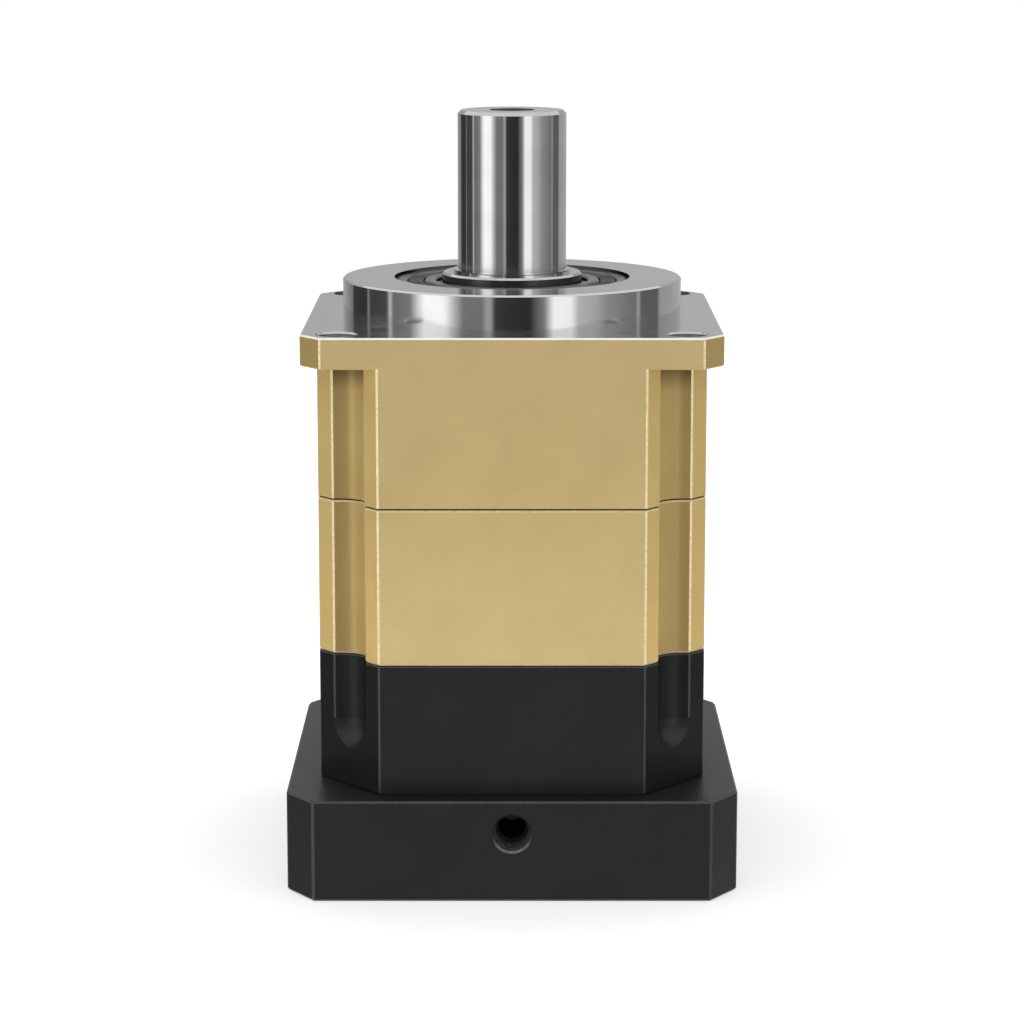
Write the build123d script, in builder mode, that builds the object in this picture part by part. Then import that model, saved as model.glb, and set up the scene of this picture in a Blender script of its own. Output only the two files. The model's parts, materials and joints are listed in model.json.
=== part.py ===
from build123d import *
from math import acos, cos, pi, radians, sin, tan
import os

os.makedirs("parts", exist_ok=True)

# Planetary servo gearbox, in millimetres.
# The origin is the centre of the motor face, +Z runs along the output shaft, and the front is -Y.

# Motor adapter plate
adapter_size = 130.0
adapter_corner_across = 8.0
adapter_corner_back = 11.5
adapter_height = 29.5
adapter_bevel = 0.6
motor_register_diameter = 110.0
motor_register_depth = 6.5
motor_bolt_circle = 145.0
motor_thread_diameter = 6.8
motor_thread_depth = 20.0
collar_room_diameter = 72.0

# Access hole to the clamp screw, in the front face of the adapter
access_height = 20.0
access_thread_diameter = 10.4
access_thread_depth = 9.0
access_key_diameter = 8.0
access_chamfer = 0.65

# Housings: one section, flush with the flange at front and back, cut at its corners
body_width = 112.0
body_extra_depth = 4.0
body_depth = body_width + body_extra_depth
body_corner_across = 18.0
body_corner_back = 22.0
input_housing_height = 38.0
ring_housing_height = 45.0
output_housing_height = 40.0
edge_bevel = 0.4
joint_bevel = 0.5

# Flange, pilot and the channels that leave room for the four flange bolts
flange_side_lip = 4.0
flange_width = body_width + 2 * flange_side_lip
flange_thickness = 9.0
flange_corner_across = 6.0
flange_corner_back = 8.0
flange_bevel = 0.5
flange_bolt_share = 1.25
flange_bolt_circle = flange_bolt_share * body_width
flange_bolt_diameter = 11.0
bolt_hole_chamfer = 0.5
bolt_channel_diameter = 16.6
channel_end_height = 10.5
pilot_diameter = 100.0
pilot_height = 11.0
pilot_bevel = 0.5

# Spigots that centre the housings, each with a seal in a groove
housing_wall = 5.0
spigot_diameter = body_width - 2 * housing_wall
spigot_length = 4.0
spigot_wall = 6.5
chamber_diameter = spigot_diameter - 2 * spigot_wall
chamber_depth = 5.0
joint_seal_width = 1.6
joint_seal_thickness = 1.8
joint_seal_squeeze = 0.1

# Teeth of the planetary stage; the ring gear's wall leaves room for a module of 2
pressure_angle = 25.0
sun_teeth = 15
planet_teeth = 15
ring_teeth = 45
planet_count = 3
first_planet_angle = 90.0
root_factor = 1.25
ring_gear_wall = 3.5
tooth_module = (spigot_diameter / 2 - ring_gear_wall) / (ring_teeth / 2 + root_factor)
sun_tip_radius = tooth_module * (sun_teeth / 2 + 1)
sun_root_radius = tooth_module * (sun_teeth / 2 - root_factor)
ring_tip_radius = tooth_module * (ring_teeth / 2 - 1)
ring_root_radius = tooth_module * (ring_teeth / 2 + root_factor)
flank_clearance = 0.05
gear_width = 24.0
tooth_overrun = 0.5
tooth_foot_overlap = 1.0

# Carrier
carrier_clearance = 1.5
carrier_diameter = 2 * (ring_tip_radius - carrier_clearance)
cheek_thickness = 12.0
plate_thickness = 8.0
plate_height_above_floor = 3.5
plate_bore_clearance = 1.0
post_diameter = 14.0
post_clearance = 3.0
post_circle = 2 * (ring_tip_radius - post_clearance) - post_diameter
pin_diameter = 11.0
pin_seat_depth = 9.0
bush_thickness = 2.5
washer_diameter = 21.0
washer_thickness = 1.0

# Output shaft, from the carrier to its free end
bearing_seat_end = 1.9
collar_diameter = 41.3
collar_height = 1.5
collar_chamfer = 0.6
foot_ring_diameter = 34.8
foot_ring_height = 0.8
shaft_diameter = 32.0
shaft_length = 49.0
shaft_end_chamfer = 1.0
centre_thread_diameter = 10.2
centre_thread_depth = 28.0
centre_sink_diameter = 13.3

# Front output bearing, seen in the pilot
front_bearing_bore = 45.0
front_bearing_outside = 68.0
front_bearing_width = 12.0
front_inner_race = 51.8
front_outer_race = 62.0
front_roller_count = 12
front_recess = 0.8
seat_chamfer = 0.8
pad_slot_width = 0.9
pad_slot_depth = 0.8
front_land_thickness = 3.0

# Rear output bearing, beside the carrier
rear_seat_step = 2.0
rear_bearing_outside = chamber_diameter - 2 * rear_seat_step
rear_bearing_section = 12.5
rear_bearing_bore = rear_bearing_outside - 2 * rear_bearing_section
rear_bearing_width = 13.0
rear_ring_thickness = 3.5
rear_inner_race = rear_bearing_bore + 2 * rear_ring_thickness
rear_outer_race = rear_bearing_outside - 2 * rear_ring_thickness
rear_roller_count = 12
shoulder_height = 10.0
shaft_shoulder_step = 3.0
shaft_shoulder_diameter = rear_bearing_bore + 2 * shaft_shoulder_step
seal_land_step = 5.0
seal_land_diameter = rear_bearing_bore - 2 * seal_land_step

# Input bearing, on the hub of the sun gear
input_bearing_bore = 40.0
input_bearing_outside = 62.0
input_bearing_width = 12.0
input_inner_race = 46.0
input_outer_race = 56.0
input_roller_count = 10
input_land_thickness = 4.0

# Bearing details that all three share
roller_length_share = 0.7
cage_gap = 0.4
cage_web = 1.2
cage_pocket_gap = 0.15
race_chamfer = 0.5
land_clearance = 1.0

# Lock nut, seals and retaining rings
nut_rim = 0.5
nut_diameter = rear_inner_race + 2 * nut_rim
nut_height = 8.0
nut_slots = 4
nut_slot_width = 6.0
nut_slot_depth = 2.5
seal_height = 8.0
seal_wall = 1.5
seal_lip_height = 2.0
retaining_ring_thickness = 1.8
retaining_ring_depth = 1.5
retaining_ring_rise = 2.6
retaining_ring_gap = 9.0

# Input hub, its clamp collar and screw
motor_shaft_diameter = 24.0
hub_mouth_height = 8.0
hub_bore_depth = 52.0
hub_clamp_diameter = 35.0
hub_slit_width = 1.2
hub_slit_length = 25.0
hub_shoulder_diameter = 44.0
hub_top_margin = 4.0
hub_floor_gap = 0.5
sun_shaft_step = 0.7
sun_shaft_diameter = 2 * (sun_root_radius - sun_shaft_step)
clamp_collar_diameter = 64.0
clamp_collar_height = 18.0
clamp_screw_diameter = 8.0
clamp_screw_key = 4.0
clamp_screw_inset = 1.5

# Screws and dowels
screw_diameter = 6.0
screw_head_diameter = 10.0
screw_head_height = 6.0
screw_key = 5.0
screw_key_depth = 3.0
counterbore_diameter = 10.6
housing_screw_step = 5.7
housing_screw_circle = spigot_diameter + 2 * housing_screw_step
housing_screw_length = 90.0
adapter_screw_step = 10.7
adapter_screw_circle = housing_screw_circle - 2 * adapter_screw_step
adapter_screw_length = 26.0
housing_thread_depth = 14.0
dowel_diameter = 6.0
dowel_length = 14.0
carrier_screw_diameter = 5.0
carrier_screw_head_diameter = 8.5
carrier_screw_head_height = 5.0
carrier_screw_length = 20.0
carrier_screw_key = 4.0

# Fits, all radial
running_clearance = 0.05
seat_clearance = 0.03
screw_clearance = 0.1
axial_play = 0.1

# Heights of the joints
adapter_top = adapter_height
ring_bottom = adapter_top + input_housing_height
output_bottom = ring_bottom + ring_housing_height
flange_bottom = output_bottom + output_housing_height
flange_top = flange_bottom + flange_thickness
pilot_top = flange_top + pilot_height
shaft_top = pilot_top + shaft_length

# Heights inside
chamber_floor = ring_bottom + spigot_length - chamber_depth
plate_bottom = chamber_floor + plate_height_above_floor
plate_top = plate_bottom + plate_thickness
gear_bottom = plate_top + washer_thickness + axial_play
gear_top = gear_bottom + gear_width
cheek_bottom = gear_top + axial_play + washer_thickness
cheek_top = cheek_bottom + cheek_thickness
rear_bearing_bottom = cheek_top + shoulder_height
rear_bearing_top = rear_bearing_bottom + rear_bearing_width
front_bearing_top = pilot_top - front_recess
front_bearing_bottom = front_bearing_top - front_bearing_width
input_bearing_top = chamber_floor - hub_floor_gap - hub_top_margin
input_bearing_bottom = input_bearing_top - input_bearing_width
input_seal_top = input_bearing_bottom - input_land_thickness
input_seal_bottom = input_seal_top - seal_height
hub_bore_top = hub_mouth_height + hub_bore_depth
hub_top = input_bearing_top + hub_top_margin
output_seal_top = front_bearing_bottom - front_land_thickness
output_seal_bottom = output_seal_top - seal_height

# Places of the four bolts at the corners, and of the three planets round the sun
def corner_points(circle):
    """The four places at 45 degrees on a circle of this diameter."""
    reach = circle / 2 * cos(radians(45))
    return [(x * reach, y * reach) for x in (-1, 1) for y in (-1, 1)]


planet_step = 360 / planet_count
planet_angles = [first_planet_angle + planet_step * n for n in range(planet_count)]
planet_orbit = tooth_module * (sun_teeth + planet_teeth) / 2


def ring_points(radius, turn_by=0.0):
    """One place for each planet, at this radius and turned on by this angle."""
    angles = [radians(angle + turn_by) for angle in planet_angles]
    return [(radius * cos(angle), radius * sin(angle)) for angle in angles]


flange_bolts = corner_points(flange_bolt_circle)
housing_screws_at = corner_points(housing_screw_circle)
adapter_screws_at = corner_points(adapter_screw_circle)
dowels_at = [(-adapter_screw_circle / 2, 0), (adapter_screw_circle / 2, 0)]
planets_at = ring_points(planet_orbit)
posts_at = ring_points(post_circle / 2, planet_step / 2)
facing_down = Plane(origin=(0, 0, 0), x_dir=(1, 0, 0), z_dir=(0, 0, -1))


def cut_corners(width, depth, across, back):
    """Corners of a plate whose four corners are cut off, this far across and this far back."""
    x, y = width / 2, depth / 2
    right = [(x - across, -y), (x, back - y), (x, y - back), (x - across, y)]
    return right + [(-x, y) for x, y in reversed(right)]


def turn(points, mode=Mode.ADD):
    """Turn an outline of (radius, height) points about the main axis, in the open part."""
    with BuildSketch(Plane.XZ) as profile:
        with BuildLine():
            Polyline(*points, close=True)
        make_face()
    revolve(profile.sketch, axis=Axis.Z, mode=mode)


def cap_screws(places, seat, diameter, length, head_diameter, head_height, key):
    """Socket screws pointing up, one at each place, with their heads under the seat."""
    with BuildSketch(Plane.XY.offset(seat)) as shanks:
        with Locations(*places):
            Circle(diameter / 2)
    extrude(shanks.sketch, amount=length)
    with BuildSketch(Plane.XY.offset(seat - head_height)) as heads:
        with Locations(*places):
            Circle(head_diameter / 2)
            RegularPolygon(key / 2, 6, major_radius=False, mode=Mode.SUBTRACT)
    extrude(heads.sketch, amount=screw_key_depth)
    with BuildSketch(Plane.XY.offset(seat - head_height + screw_key_depth)) as necks:
        with Locations(*places):
            Circle(head_diameter / 2)
    extrude(necks.sketch, amount=head_height - screw_key_depth)


# Tooth form: involute flanks, each drawn as one arc through three points of the curve
def involute(angle):
    return tan(angle) - angle


def half_angle(teeth, radius, widened):
    """Half the angle that a tooth of an outside gear takes up at this radius."""
    pitch_radius = tooth_module * teeth / 2
    base_radius = pitch_radius * cos(radians(pressure_angle))
    at_pitch = pi / (2 * teeth) + widened / pitch_radius + involute(radians(pressure_angle))
    return at_pitch - involute(acos(min(1.0, base_radius / radius)))


def polar(radius, angle):
    return (radius * cos(angle), radius * sin(angle))


def tooth_outline(teeth, inner, outer, widened, foot):
    """One tooth on the X axis, from its foot through its involute flanks to a flat tip."""
    middle = (inner + outer) / 2
    angle_in = half_angle(teeth, inner, widened)
    angle_mid = half_angle(teeth, middle, widened)
    angle_out = half_angle(teeth, outer, widened)
    with BuildSketch() as tooth:
        with BuildLine():
            Line(polar(foot, -angle_in), polar(inner, -angle_in))
            ThreePointArc(polar(inner, -angle_in), polar(middle, -angle_mid), polar(outer, -angle_out))
            Line(polar(outer, -angle_out), polar(outer, angle_out))
            ThreePointArc(polar(outer, angle_out), polar(middle, angle_mid), polar(inner, angle_in))
            Line(polar(inner, angle_in), polar(foot, angle_in))
            Line(polar(foot, angle_in), polar(foot, -angle_in))
        make_face()
    return tooth.sketch


def outside_gear(teeth, first_tooth_angle):
    """Section of a gear with outside teeth, one of them at the given angle."""
    pitch_radius = tooth_module * teeth / 2
    root_radius = pitch_radius - tooth_module * root_factor
    base_radius = pitch_radius * cos(radians(pressure_angle))
    flank_start = max(base_radius, root_radius)
    tip_radius = pitch_radius + tooth_module
    foot = root_radius - tooth_foot_overlap
    tooth = tooth_outline(teeth, flank_start, tip_radius, -flank_clearance, foot)
    with BuildSketch() as gear:
        Circle(root_radius)
        with PolarLocations(0, teeth, start_angle=first_tooth_angle):
            add(tooth)
    return gear.sketch


# Motor adapter plate
with BuildPart() as motor_adapter:
    with BuildSketch():
        Polygon(*cut_corners(adapter_size, adapter_size, adapter_corner_across, adapter_corner_back))
    extrude(amount=adapter_height)
    chamfer(motor_adapter.edges(), adapter_bevel)
    with BuildSketch():
        Circle(motor_register_diameter / 2)
    extrude(amount=motor_register_depth, mode=Mode.SUBTRACT)
    with BuildSketch():
        Circle(collar_room_diameter / 2)
    extrude(amount=adapter_height, mode=Mode.SUBTRACT)
    with Locations(facing_down):
        with Locations(*corner_points(motor_bolt_circle)):
            Hole(motor_thread_diameter / 2, depth=motor_thread_depth)
    with Locations(facing_down.offset(-motor_register_depth)):
        with Locations(*adapter_screws_at):
            CounterBoreHole(
                screw_diameter / 2 + screw_clearance,
                counterbore_diameter / 2,
                screw_head_height + screw_clearance,
            )
    with Locations(Plane.XY.offset(adapter_height)):
        with Locations(*dowels_at):
            Hole(dowel_diameter / 2 + seat_clearance, depth=dowel_length / 2)
    front = Plane(origin=(0, -adapter_size / 2, access_height), z_dir=(0, -1, 0))
    with Locations(front):
        Hole(access_key_diameter / 2, depth=adapter_size / 2 - collar_room_diameter / 2 + access_chamfer)
        Hole(access_thread_diameter / 2, depth=access_thread_depth)
    front_face = motor_adapter.faces().sort_by(Axis.Y)[0]
    chamfer(front_face.inner_wires()[0].edges(), access_chamfer)
motor_adapter.part.label = "motor_adapter"
export_step(motor_adapter.part, "parts/motor_adapter.step")


def spigot(face, way):
    """Centring ring on a joint face, with a groove for its seal, going up or down."""
    inner = chamber_diameter / 2
    outer = spigot_diameter / 2 - seat_clearance
    floor = outer - joint_seal_thickness
    groove_start = (spigot_length - joint_seal_width) / 2 - joint_seal_squeeze
    groove_end = (spigot_length + joint_seal_width) / 2 + joint_seal_squeeze
    turn(
        [
            (inner, face),
            (outer, face),
            (outer, face + way * groove_start),
            (floor, face + way * groove_start),
            (floor, face + way * groove_end),
            (outer, face + way * groove_end),
            (outer, face + way * spigot_length),
            (inner, face + way * spigot_length),
        ]
    )


# Outline of the housings: a square with cut corners, and the same with the four bolt channels
with BuildSketch() as body_outline:
    Polygon(*cut_corners(body_width, body_depth, body_corner_across, body_corner_back))
with BuildSketch() as channelled_outline:
    add(body_outline.sketch)
    with Locations(*flange_bolts):
        Circle(bolt_channel_diameter / 2, mode=Mode.SUBTRACT)
    chamfer(channelled_outline.vertices(), edge_bevel)

# Input housing, black, with the blind ends of the bolt channels
with BuildPart() as input_housing:
    channel_centre = adapter_top + channel_end_height + bolt_channel_diameter / 2
    with BuildSketch(Plane.XY.offset(adapter_top)) as input_foot:
        add(body_outline.sketch)
        chamfer(input_foot.vertices(), edge_bevel)
    extrude(amount=channel_centre - adapter_top)
    with BuildSketch(Plane.XY.offset(channel_centre)):
        add(channelled_outline.sketch)
    extrude(amount=ring_bottom - channel_centre)
    with Locations(*[(x, y, channel_centre) for x, y in flange_bolts]):
        Sphere(bolt_channel_diameter / 2, mode=Mode.SUBTRACT)
    chamfer(input_housing.faces().sort_by(Axis.Z)[-1].outer_wire().edges(), joint_bevel)
    chamfer(input_housing.faces().sort_by(Axis.Z)[0].outer_wire().edges(), joint_bevel)
    spigot(ring_bottom, 1)
    seat = input_bearing_outside / 2 + seat_clearance
    turn(
        [
            (0, adapter_top),
            (collar_room_diameter / 2, adapter_top),
            (collar_room_diameter / 2, input_seal_bottom - seal_wall),
            (seat, input_seal_bottom - seal_wall),
            (seat, input_seal_top),
            (hub_shoulder_diameter / 2 + input_land_thickness, input_seal_top),
            (hub_shoulder_diameter / 2 + input_land_thickness, input_bearing_bottom),
            (seat, input_bearing_bottom),
            (seat, input_bearing_top),
            (seat + retaining_ring_depth, input_bearing_top),
            (seat + retaining_ring_depth, input_bearing_top + retaining_ring_thickness + axial_play),
            (seat, input_bearing_top + retaining_ring_thickness + axial_play),
            (seat, chamber_floor),
            (chamber_diameter / 2, chamber_floor),
            (chamber_diameter / 2, chamber_floor + chamber_depth),
            (0, chamber_floor + chamber_depth),
        ],
        mode=Mode.SUBTRACT,
    )
    with Locations(facing_down.offset(-adapter_top)):
        with Locations(*housing_screws_at):
            CounterBoreHole(
                screw_diameter / 2 + screw_clearance,
                counterbore_diameter / 2,
                screw_head_height + screw_clearance,
            )
        with Locations(*adapter_screws_at):
            Hole(screw_diameter / 2 + screw_clearance, depth=adapter_screw_length / 2)
        with Locations(*dowels_at):
            Hole(dowel_diameter / 2 + seat_clearance, depth=dowel_length / 2)
input_housing.part.label = "input_housing"
export_step(input_housing.part, "parts/input_housing.step")

# Housing round the ring gear, gold
with BuildPart() as ring_housing:
    with BuildSketch(Plane.XY.offset(ring_bottom)):
        add(channelled_outline.sketch)
    extrude(amount=ring_housing_height)
    chamfer(ring_housing.faces().sort_by(Axis.Z)[-1].outer_wire().edges(), joint_bevel)
    chamfer(ring_housing.faces().sort_by(Axis.Z)[0].outer_wire().edges(), joint_bevel)
    with BuildSketch(Plane.XY.offset(ring_bottom)):
        Circle(spigot_diameter / 2)
        with Locations(*housing_screws_at):
            Circle(screw_diameter / 2 + screw_clearance)
    extrude(amount=ring_housing_height, mode=Mode.SUBTRACT)
ring_housing.part.label = "ring_housing"
export_step(ring_housing.part, "parts/ring_housing.step")

# Output housing, gold, with its flange and pilot machined bare
with BuildPart() as output_housing:
    with BuildSketch(Plane.XY.offset(flange_bottom)):
        Polygon(*cut_corners(flange_width, body_depth, flange_corner_across, flange_corner_back))
    extrude(amount=flange_thickness)
    chamfer(output_housing.edges().group_by(Axis.Z)[-1], flange_bevel)
    chamfer(output_housing.edges().filter_by(Axis.Z), edge_bevel)
    chamfer(output_housing.edges().group_by(Axis.Z)[0], edge_bevel)
    with BuildSketch(Plane.XY.offset(flange_bottom)) as output_outline:
        add(channelled_outline.sketch)
    extrude(amount=flange_thickness / 2)
    extrude(output_outline.sketch, amount=-output_housing_height)
    chamfer(output_housing.faces().sort_by(Axis.Z)[0].outer_wire().edges(), joint_bevel)
    with BuildSketch(Plane.XY.offset(flange_top)):
        Circle(pilot_diameter / 2)
    extrude(amount=pilot_height)
    chamfer(output_housing.edges().sort_by(Axis.Z)[-1], pilot_bevel)
    spigot(output_bottom, -1)
    front_seat = front_bearing_outside / 2 + seat_clearance
    rear_seat = rear_bearing_outside / 2 + seat_clearance
    front_land = front_outer_race / 2 + race_chamfer
    rear_land = rear_outer_race / 2 + race_chamfer
    turn(
        [
            (0, output_bottom - spigot_length),
            (chamber_diameter / 2, output_bottom - spigot_length),
            (chamber_diameter / 2, rear_bearing_bottom),
            (rear_seat, rear_bearing_bottom),
            (rear_seat, rear_bearing_top),
            (rear_land, rear_bearing_top),
            (rear_land, output_seal_bottom),
            (front_seat, output_seal_bottom),
            (front_seat, output_seal_top),
            (front_land, output_seal_top),
            (front_land, front_bearing_bottom),
            (front_seat, front_bearing_bottom),
            (front_seat, pilot_top - seat_chamfer),
            (front_seat + seat_chamfer, pilot_top),
            (0, pilot_top),
        ],
        mode=Mode.SUBTRACT,
    )
    with Locations(Plane.XY.offset(flange_top)):
        with Locations(*flange_bolts):
            CounterSinkHole(
                flange_bolt_diameter / 2,
                flange_bolt_diameter / 2 + bolt_hole_chamfer,
                depth=flange_thickness,
                counter_sink_angle=90,
            )
    with Locations(facing_down.offset(-output_bottom)):
        with Locations(*housing_screws_at):
            Hole(screw_diameter / 2 + screw_clearance, depth=housing_thread_depth)
output_housing.part.label = "output_housing"
export_step(output_housing.part, "parts/output_housing.step")

# Ring gear, pressed into its housing between the two spigots
with BuildPart() as ring_gear:
    ring_gear_bottom = ring_bottom + spigot_length
    space_start = ring_tip_radius - tooth_foot_overlap
    space = tooth_outline(
        ring_teeth, space_start, ring_root_radius, flank_clearance, space_start - tooth_foot_overlap
    )
    with BuildSketch(Plane.XY.offset(ring_gear_bottom)):
        Circle(spigot_diameter / 2 - seat_clearance)
        Circle(ring_tip_radius, mode=Mode.SUBTRACT)
        with PolarLocations(0, ring_teeth, start_angle=first_planet_angle):
            add(space, mode=Mode.SUBTRACT)
    extrude(amount=ring_housing_height - 2 * spigot_length)
ring_gear.part.label = "ring_gear"
export_step(ring_gear.part, "parts/ring_gear.step")

# Screws and dowels that hold the housings together
with BuildPart() as adapter_screws:
    cap_screws(
        adapter_screws_at,
        motor_register_depth + screw_head_height + screw_clearance,
        screw_diameter,
        adapter_screw_length,
        screw_head_diameter,
        screw_head_height,
        screw_key,
    )
adapter_screws.part.label = "adapter_screws"
export_step(adapter_screws.part, "parts/adapter_screws.step")

with BuildPart() as housing_screws:
    cap_screws(
        housing_screws_at,
        adapter_top + screw_head_height + screw_clearance,
        screw_diameter,
        housing_screw_length,
        screw_head_diameter,
        screw_head_height,
        screw_key,
    )
housing_screws.part.label = "housing_screws"
export_step(housing_screws.part, "parts/housing_screws.step")

with BuildPart() as adapter_dowels:
    with BuildSketch(Plane.XY.offset(adapter_top)):
        with Locations(*dowels_at):
            Circle(dowel_diameter / 2)
    extrude(amount=dowel_length / 2 - axial_play, both=True)
adapter_dowels.part.label = "adapter_dowels"
export_step(adapter_dowels.part, "parts/adapter_dowels.step")


def tube(inner, outer, bottom, height):
    """A plain ring of these radii standing on this height, in the open part."""
    turn([(inner, bottom), (outer, bottom), (outer, bottom + height), (inner, bottom + height)])


# Seals in the two joints between the housings
joint_seal_inner = spigot_diameter / 2 - seat_clearance - joint_seal_thickness
joint_seal_start = (spigot_length - joint_seal_width) / 2
with BuildPart() as input_joint_seal:
    tube(
        joint_seal_inner,
        joint_seal_inner + joint_seal_thickness,
        ring_bottom + joint_seal_start,
        joint_seal_width,
    )
input_joint_seal.part.label = "input_joint_seal"
export_step(input_joint_seal.part, "parts/input_joint_seal.step")

with BuildPart() as output_joint_seal:
    tube(
        joint_seal_inner,
        joint_seal_inner + joint_seal_thickness,
        output_bottom - joint_seal_start - joint_seal_width,
        joint_seal_width,
    )
output_joint_seal.part.label = "output_joint_seal"
export_step(output_joint_seal.part, "parts/output_joint_seal.step")

# Output shaft in one piece with the front cheek and the posts of the carrier
with BuildPart() as output_shaft:
    seat_end = pilot_top - bearing_seat_end
    collar_top = pilot_top + collar_height
    turn(
        [
            (0, cheek_bottom),
            (carrier_diameter / 2, cheek_bottom),
            (carrier_diameter / 2, cheek_top),
            (shaft_shoulder_diameter / 2, cheek_top),
            (shaft_shoulder_diameter / 2, rear_bearing_bottom),
            (rear_bearing_bore / 2 - seat_clearance, rear_bearing_bottom),
            (rear_bearing_bore / 2 - seat_clearance, rear_bearing_top - axial_play),
            (seal_land_diameter / 2, rear_bearing_top - axial_play),
            (seal_land_diameter / 2, front_bearing_bottom),
            (front_bearing_bore / 2 - seat_clearance, front_bearing_bottom),
            (front_bearing_bore / 2 - seat_clearance, seat_end),
            (collar_diameter / 2, seat_end),
            (collar_diameter / 2, collar_top - collar_chamfer),
            (collar_diameter / 2 - collar_chamfer, collar_top),
            (foot_ring_diameter / 2, collar_top),
            (foot_ring_diameter / 2, collar_top + foot_ring_height),
            (shaft_diameter / 2, collar_top + foot_ring_height),
            (shaft_diameter / 2, shaft_top - shaft_end_chamfer),
            (shaft_diameter / 2 - shaft_end_chamfer, shaft_top),
            (0, shaft_top),
        ]
    )
    with BuildSketch(Plane.XY.offset(plate_top)):
        with Locations(*posts_at):
            Circle(post_diameter / 2)
    extrude(amount=cheek_bottom - plate_top)
    with Locations(Plane.XY.offset(shaft_top)):
        CounterSinkHole(
            centre_thread_diameter / 2,
            centre_sink_diameter / 2,
            depth=centre_thread_depth,
            counter_sink_angle=60,
        )
    with Locations(facing_down.offset(-cheek_bottom)):
        with Locations(*[(x, -y) for x, y in planets_at]):
            Hole(pin_diameter / 2 + seat_clearance, depth=pin_seat_depth)
    with Locations(facing_down.offset(-plate_top)):
        with Locations(*[(x, -y) for x, y in posts_at]):
            Hole(carrier_screw_diameter / 2 + screw_clearance, depth=carrier_screw_length)
output_shaft.part.label = "output_shaft"
export_step(output_shaft.part, "parts/output_shaft.step")

# Rear plate of the carrier, with its screws
with BuildPart() as carrier_plate:
    with BuildSketch(Plane.XY.offset(plate_bottom)):
        Circle(carrier_diameter / 2)
        Circle(sun_tip_radius + plate_bore_clearance, mode=Mode.SUBTRACT)
        with Locations(*planets_at):
            Circle(pin_diameter / 2 + seat_clearance, mode=Mode.SUBTRACT)
        with Locations(*posts_at):
            Circle(carrier_screw_diameter / 2 + screw_clearance, mode=Mode.SUBTRACT)
    extrude(amount=plate_thickness)
    with BuildSketch(Plane.XY.offset(plate_bottom)):
        with Locations(*posts_at):
            Circle(carrier_screw_head_diameter / 2 + screw_clearance)
    extrude(amount=carrier_screw_head_height + screw_clearance, mode=Mode.SUBTRACT)
carrier_plate.part.label = "carrier_plate"
export_step(carrier_plate.part, "parts/carrier_plate.step")

with BuildPart() as carrier_screws:
    cap_screws(
        posts_at,
        plate_bottom + carrier_screw_head_height + screw_clearance,
        carrier_screw_diameter,
        carrier_screw_length,
        carrier_screw_head_diameter,
        carrier_screw_head_height,
        carrier_screw_key,
    )
carrier_screws.part.label = "carrier_screws"
export_step(carrier_screws.part, "parts/carrier_screws.step")

# Thrust washers on both sides of every planet
with BuildPart() as thrust_washers:
    for washer_bottom in (plate_top, cheek_bottom - washer_thickness):
        with BuildSketch(Plane.XY.offset(washer_bottom)):
            with Locations(*planets_at):
                Circle(washer_diameter / 2)
                Circle(pin_diameter / 2 + running_clearance, mode=Mode.SUBTRACT)
        extrude(amount=washer_thickness)
thrust_washers.part.label = "thrust_washers"
export_step(thrust_washers.part, "parts/thrust_washers.step")

# Planets: gear, bush inside it and the pin it turns on
bush_outer = pin_diameter / 2 + bush_thickness
for number, (place, angle) in enumerate(zip(planets_at, planet_angles), start=1):
    with BuildPart() as planet_gear:
        with BuildSketch(Plane.XY.offset(gear_bottom)):
            with Locations(place):
                add(outside_gear(planet_teeth, angle))
                Circle(bush_outer + seat_clearance, mode=Mode.SUBTRACT)
        extrude(amount=gear_width)
    planet_gear.part.label = f"planet_gear_{number}"
    export_step(planet_gear.part, f"parts/planet_gear_{number}.step")

    with BuildPart() as planet_bush:
        with BuildSketch(Plane.XY.offset(gear_bottom)):
            with Locations(place):
                Circle(bush_outer)
                Circle(pin_diameter / 2 + running_clearance, mode=Mode.SUBTRACT)
        extrude(amount=gear_width)
    planet_bush.part.label = f"planet_bush_{number}"
    export_step(planet_bush.part, f"parts/planet_bush_{number}.step")

    with BuildPart() as planet_pin:
        with BuildSketch(Plane.XY.offset(plate_bottom)):
            with Locations(place):
                Circle(pin_diameter / 2)
        extrude(amount=cheek_bottom + pin_seat_depth - axial_play - plate_bottom)
    planet_pin.part.label = f"planet_pin_{number}"
    export_step(planet_pin.part, f"parts/planet_pin_{number}.step")

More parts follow.
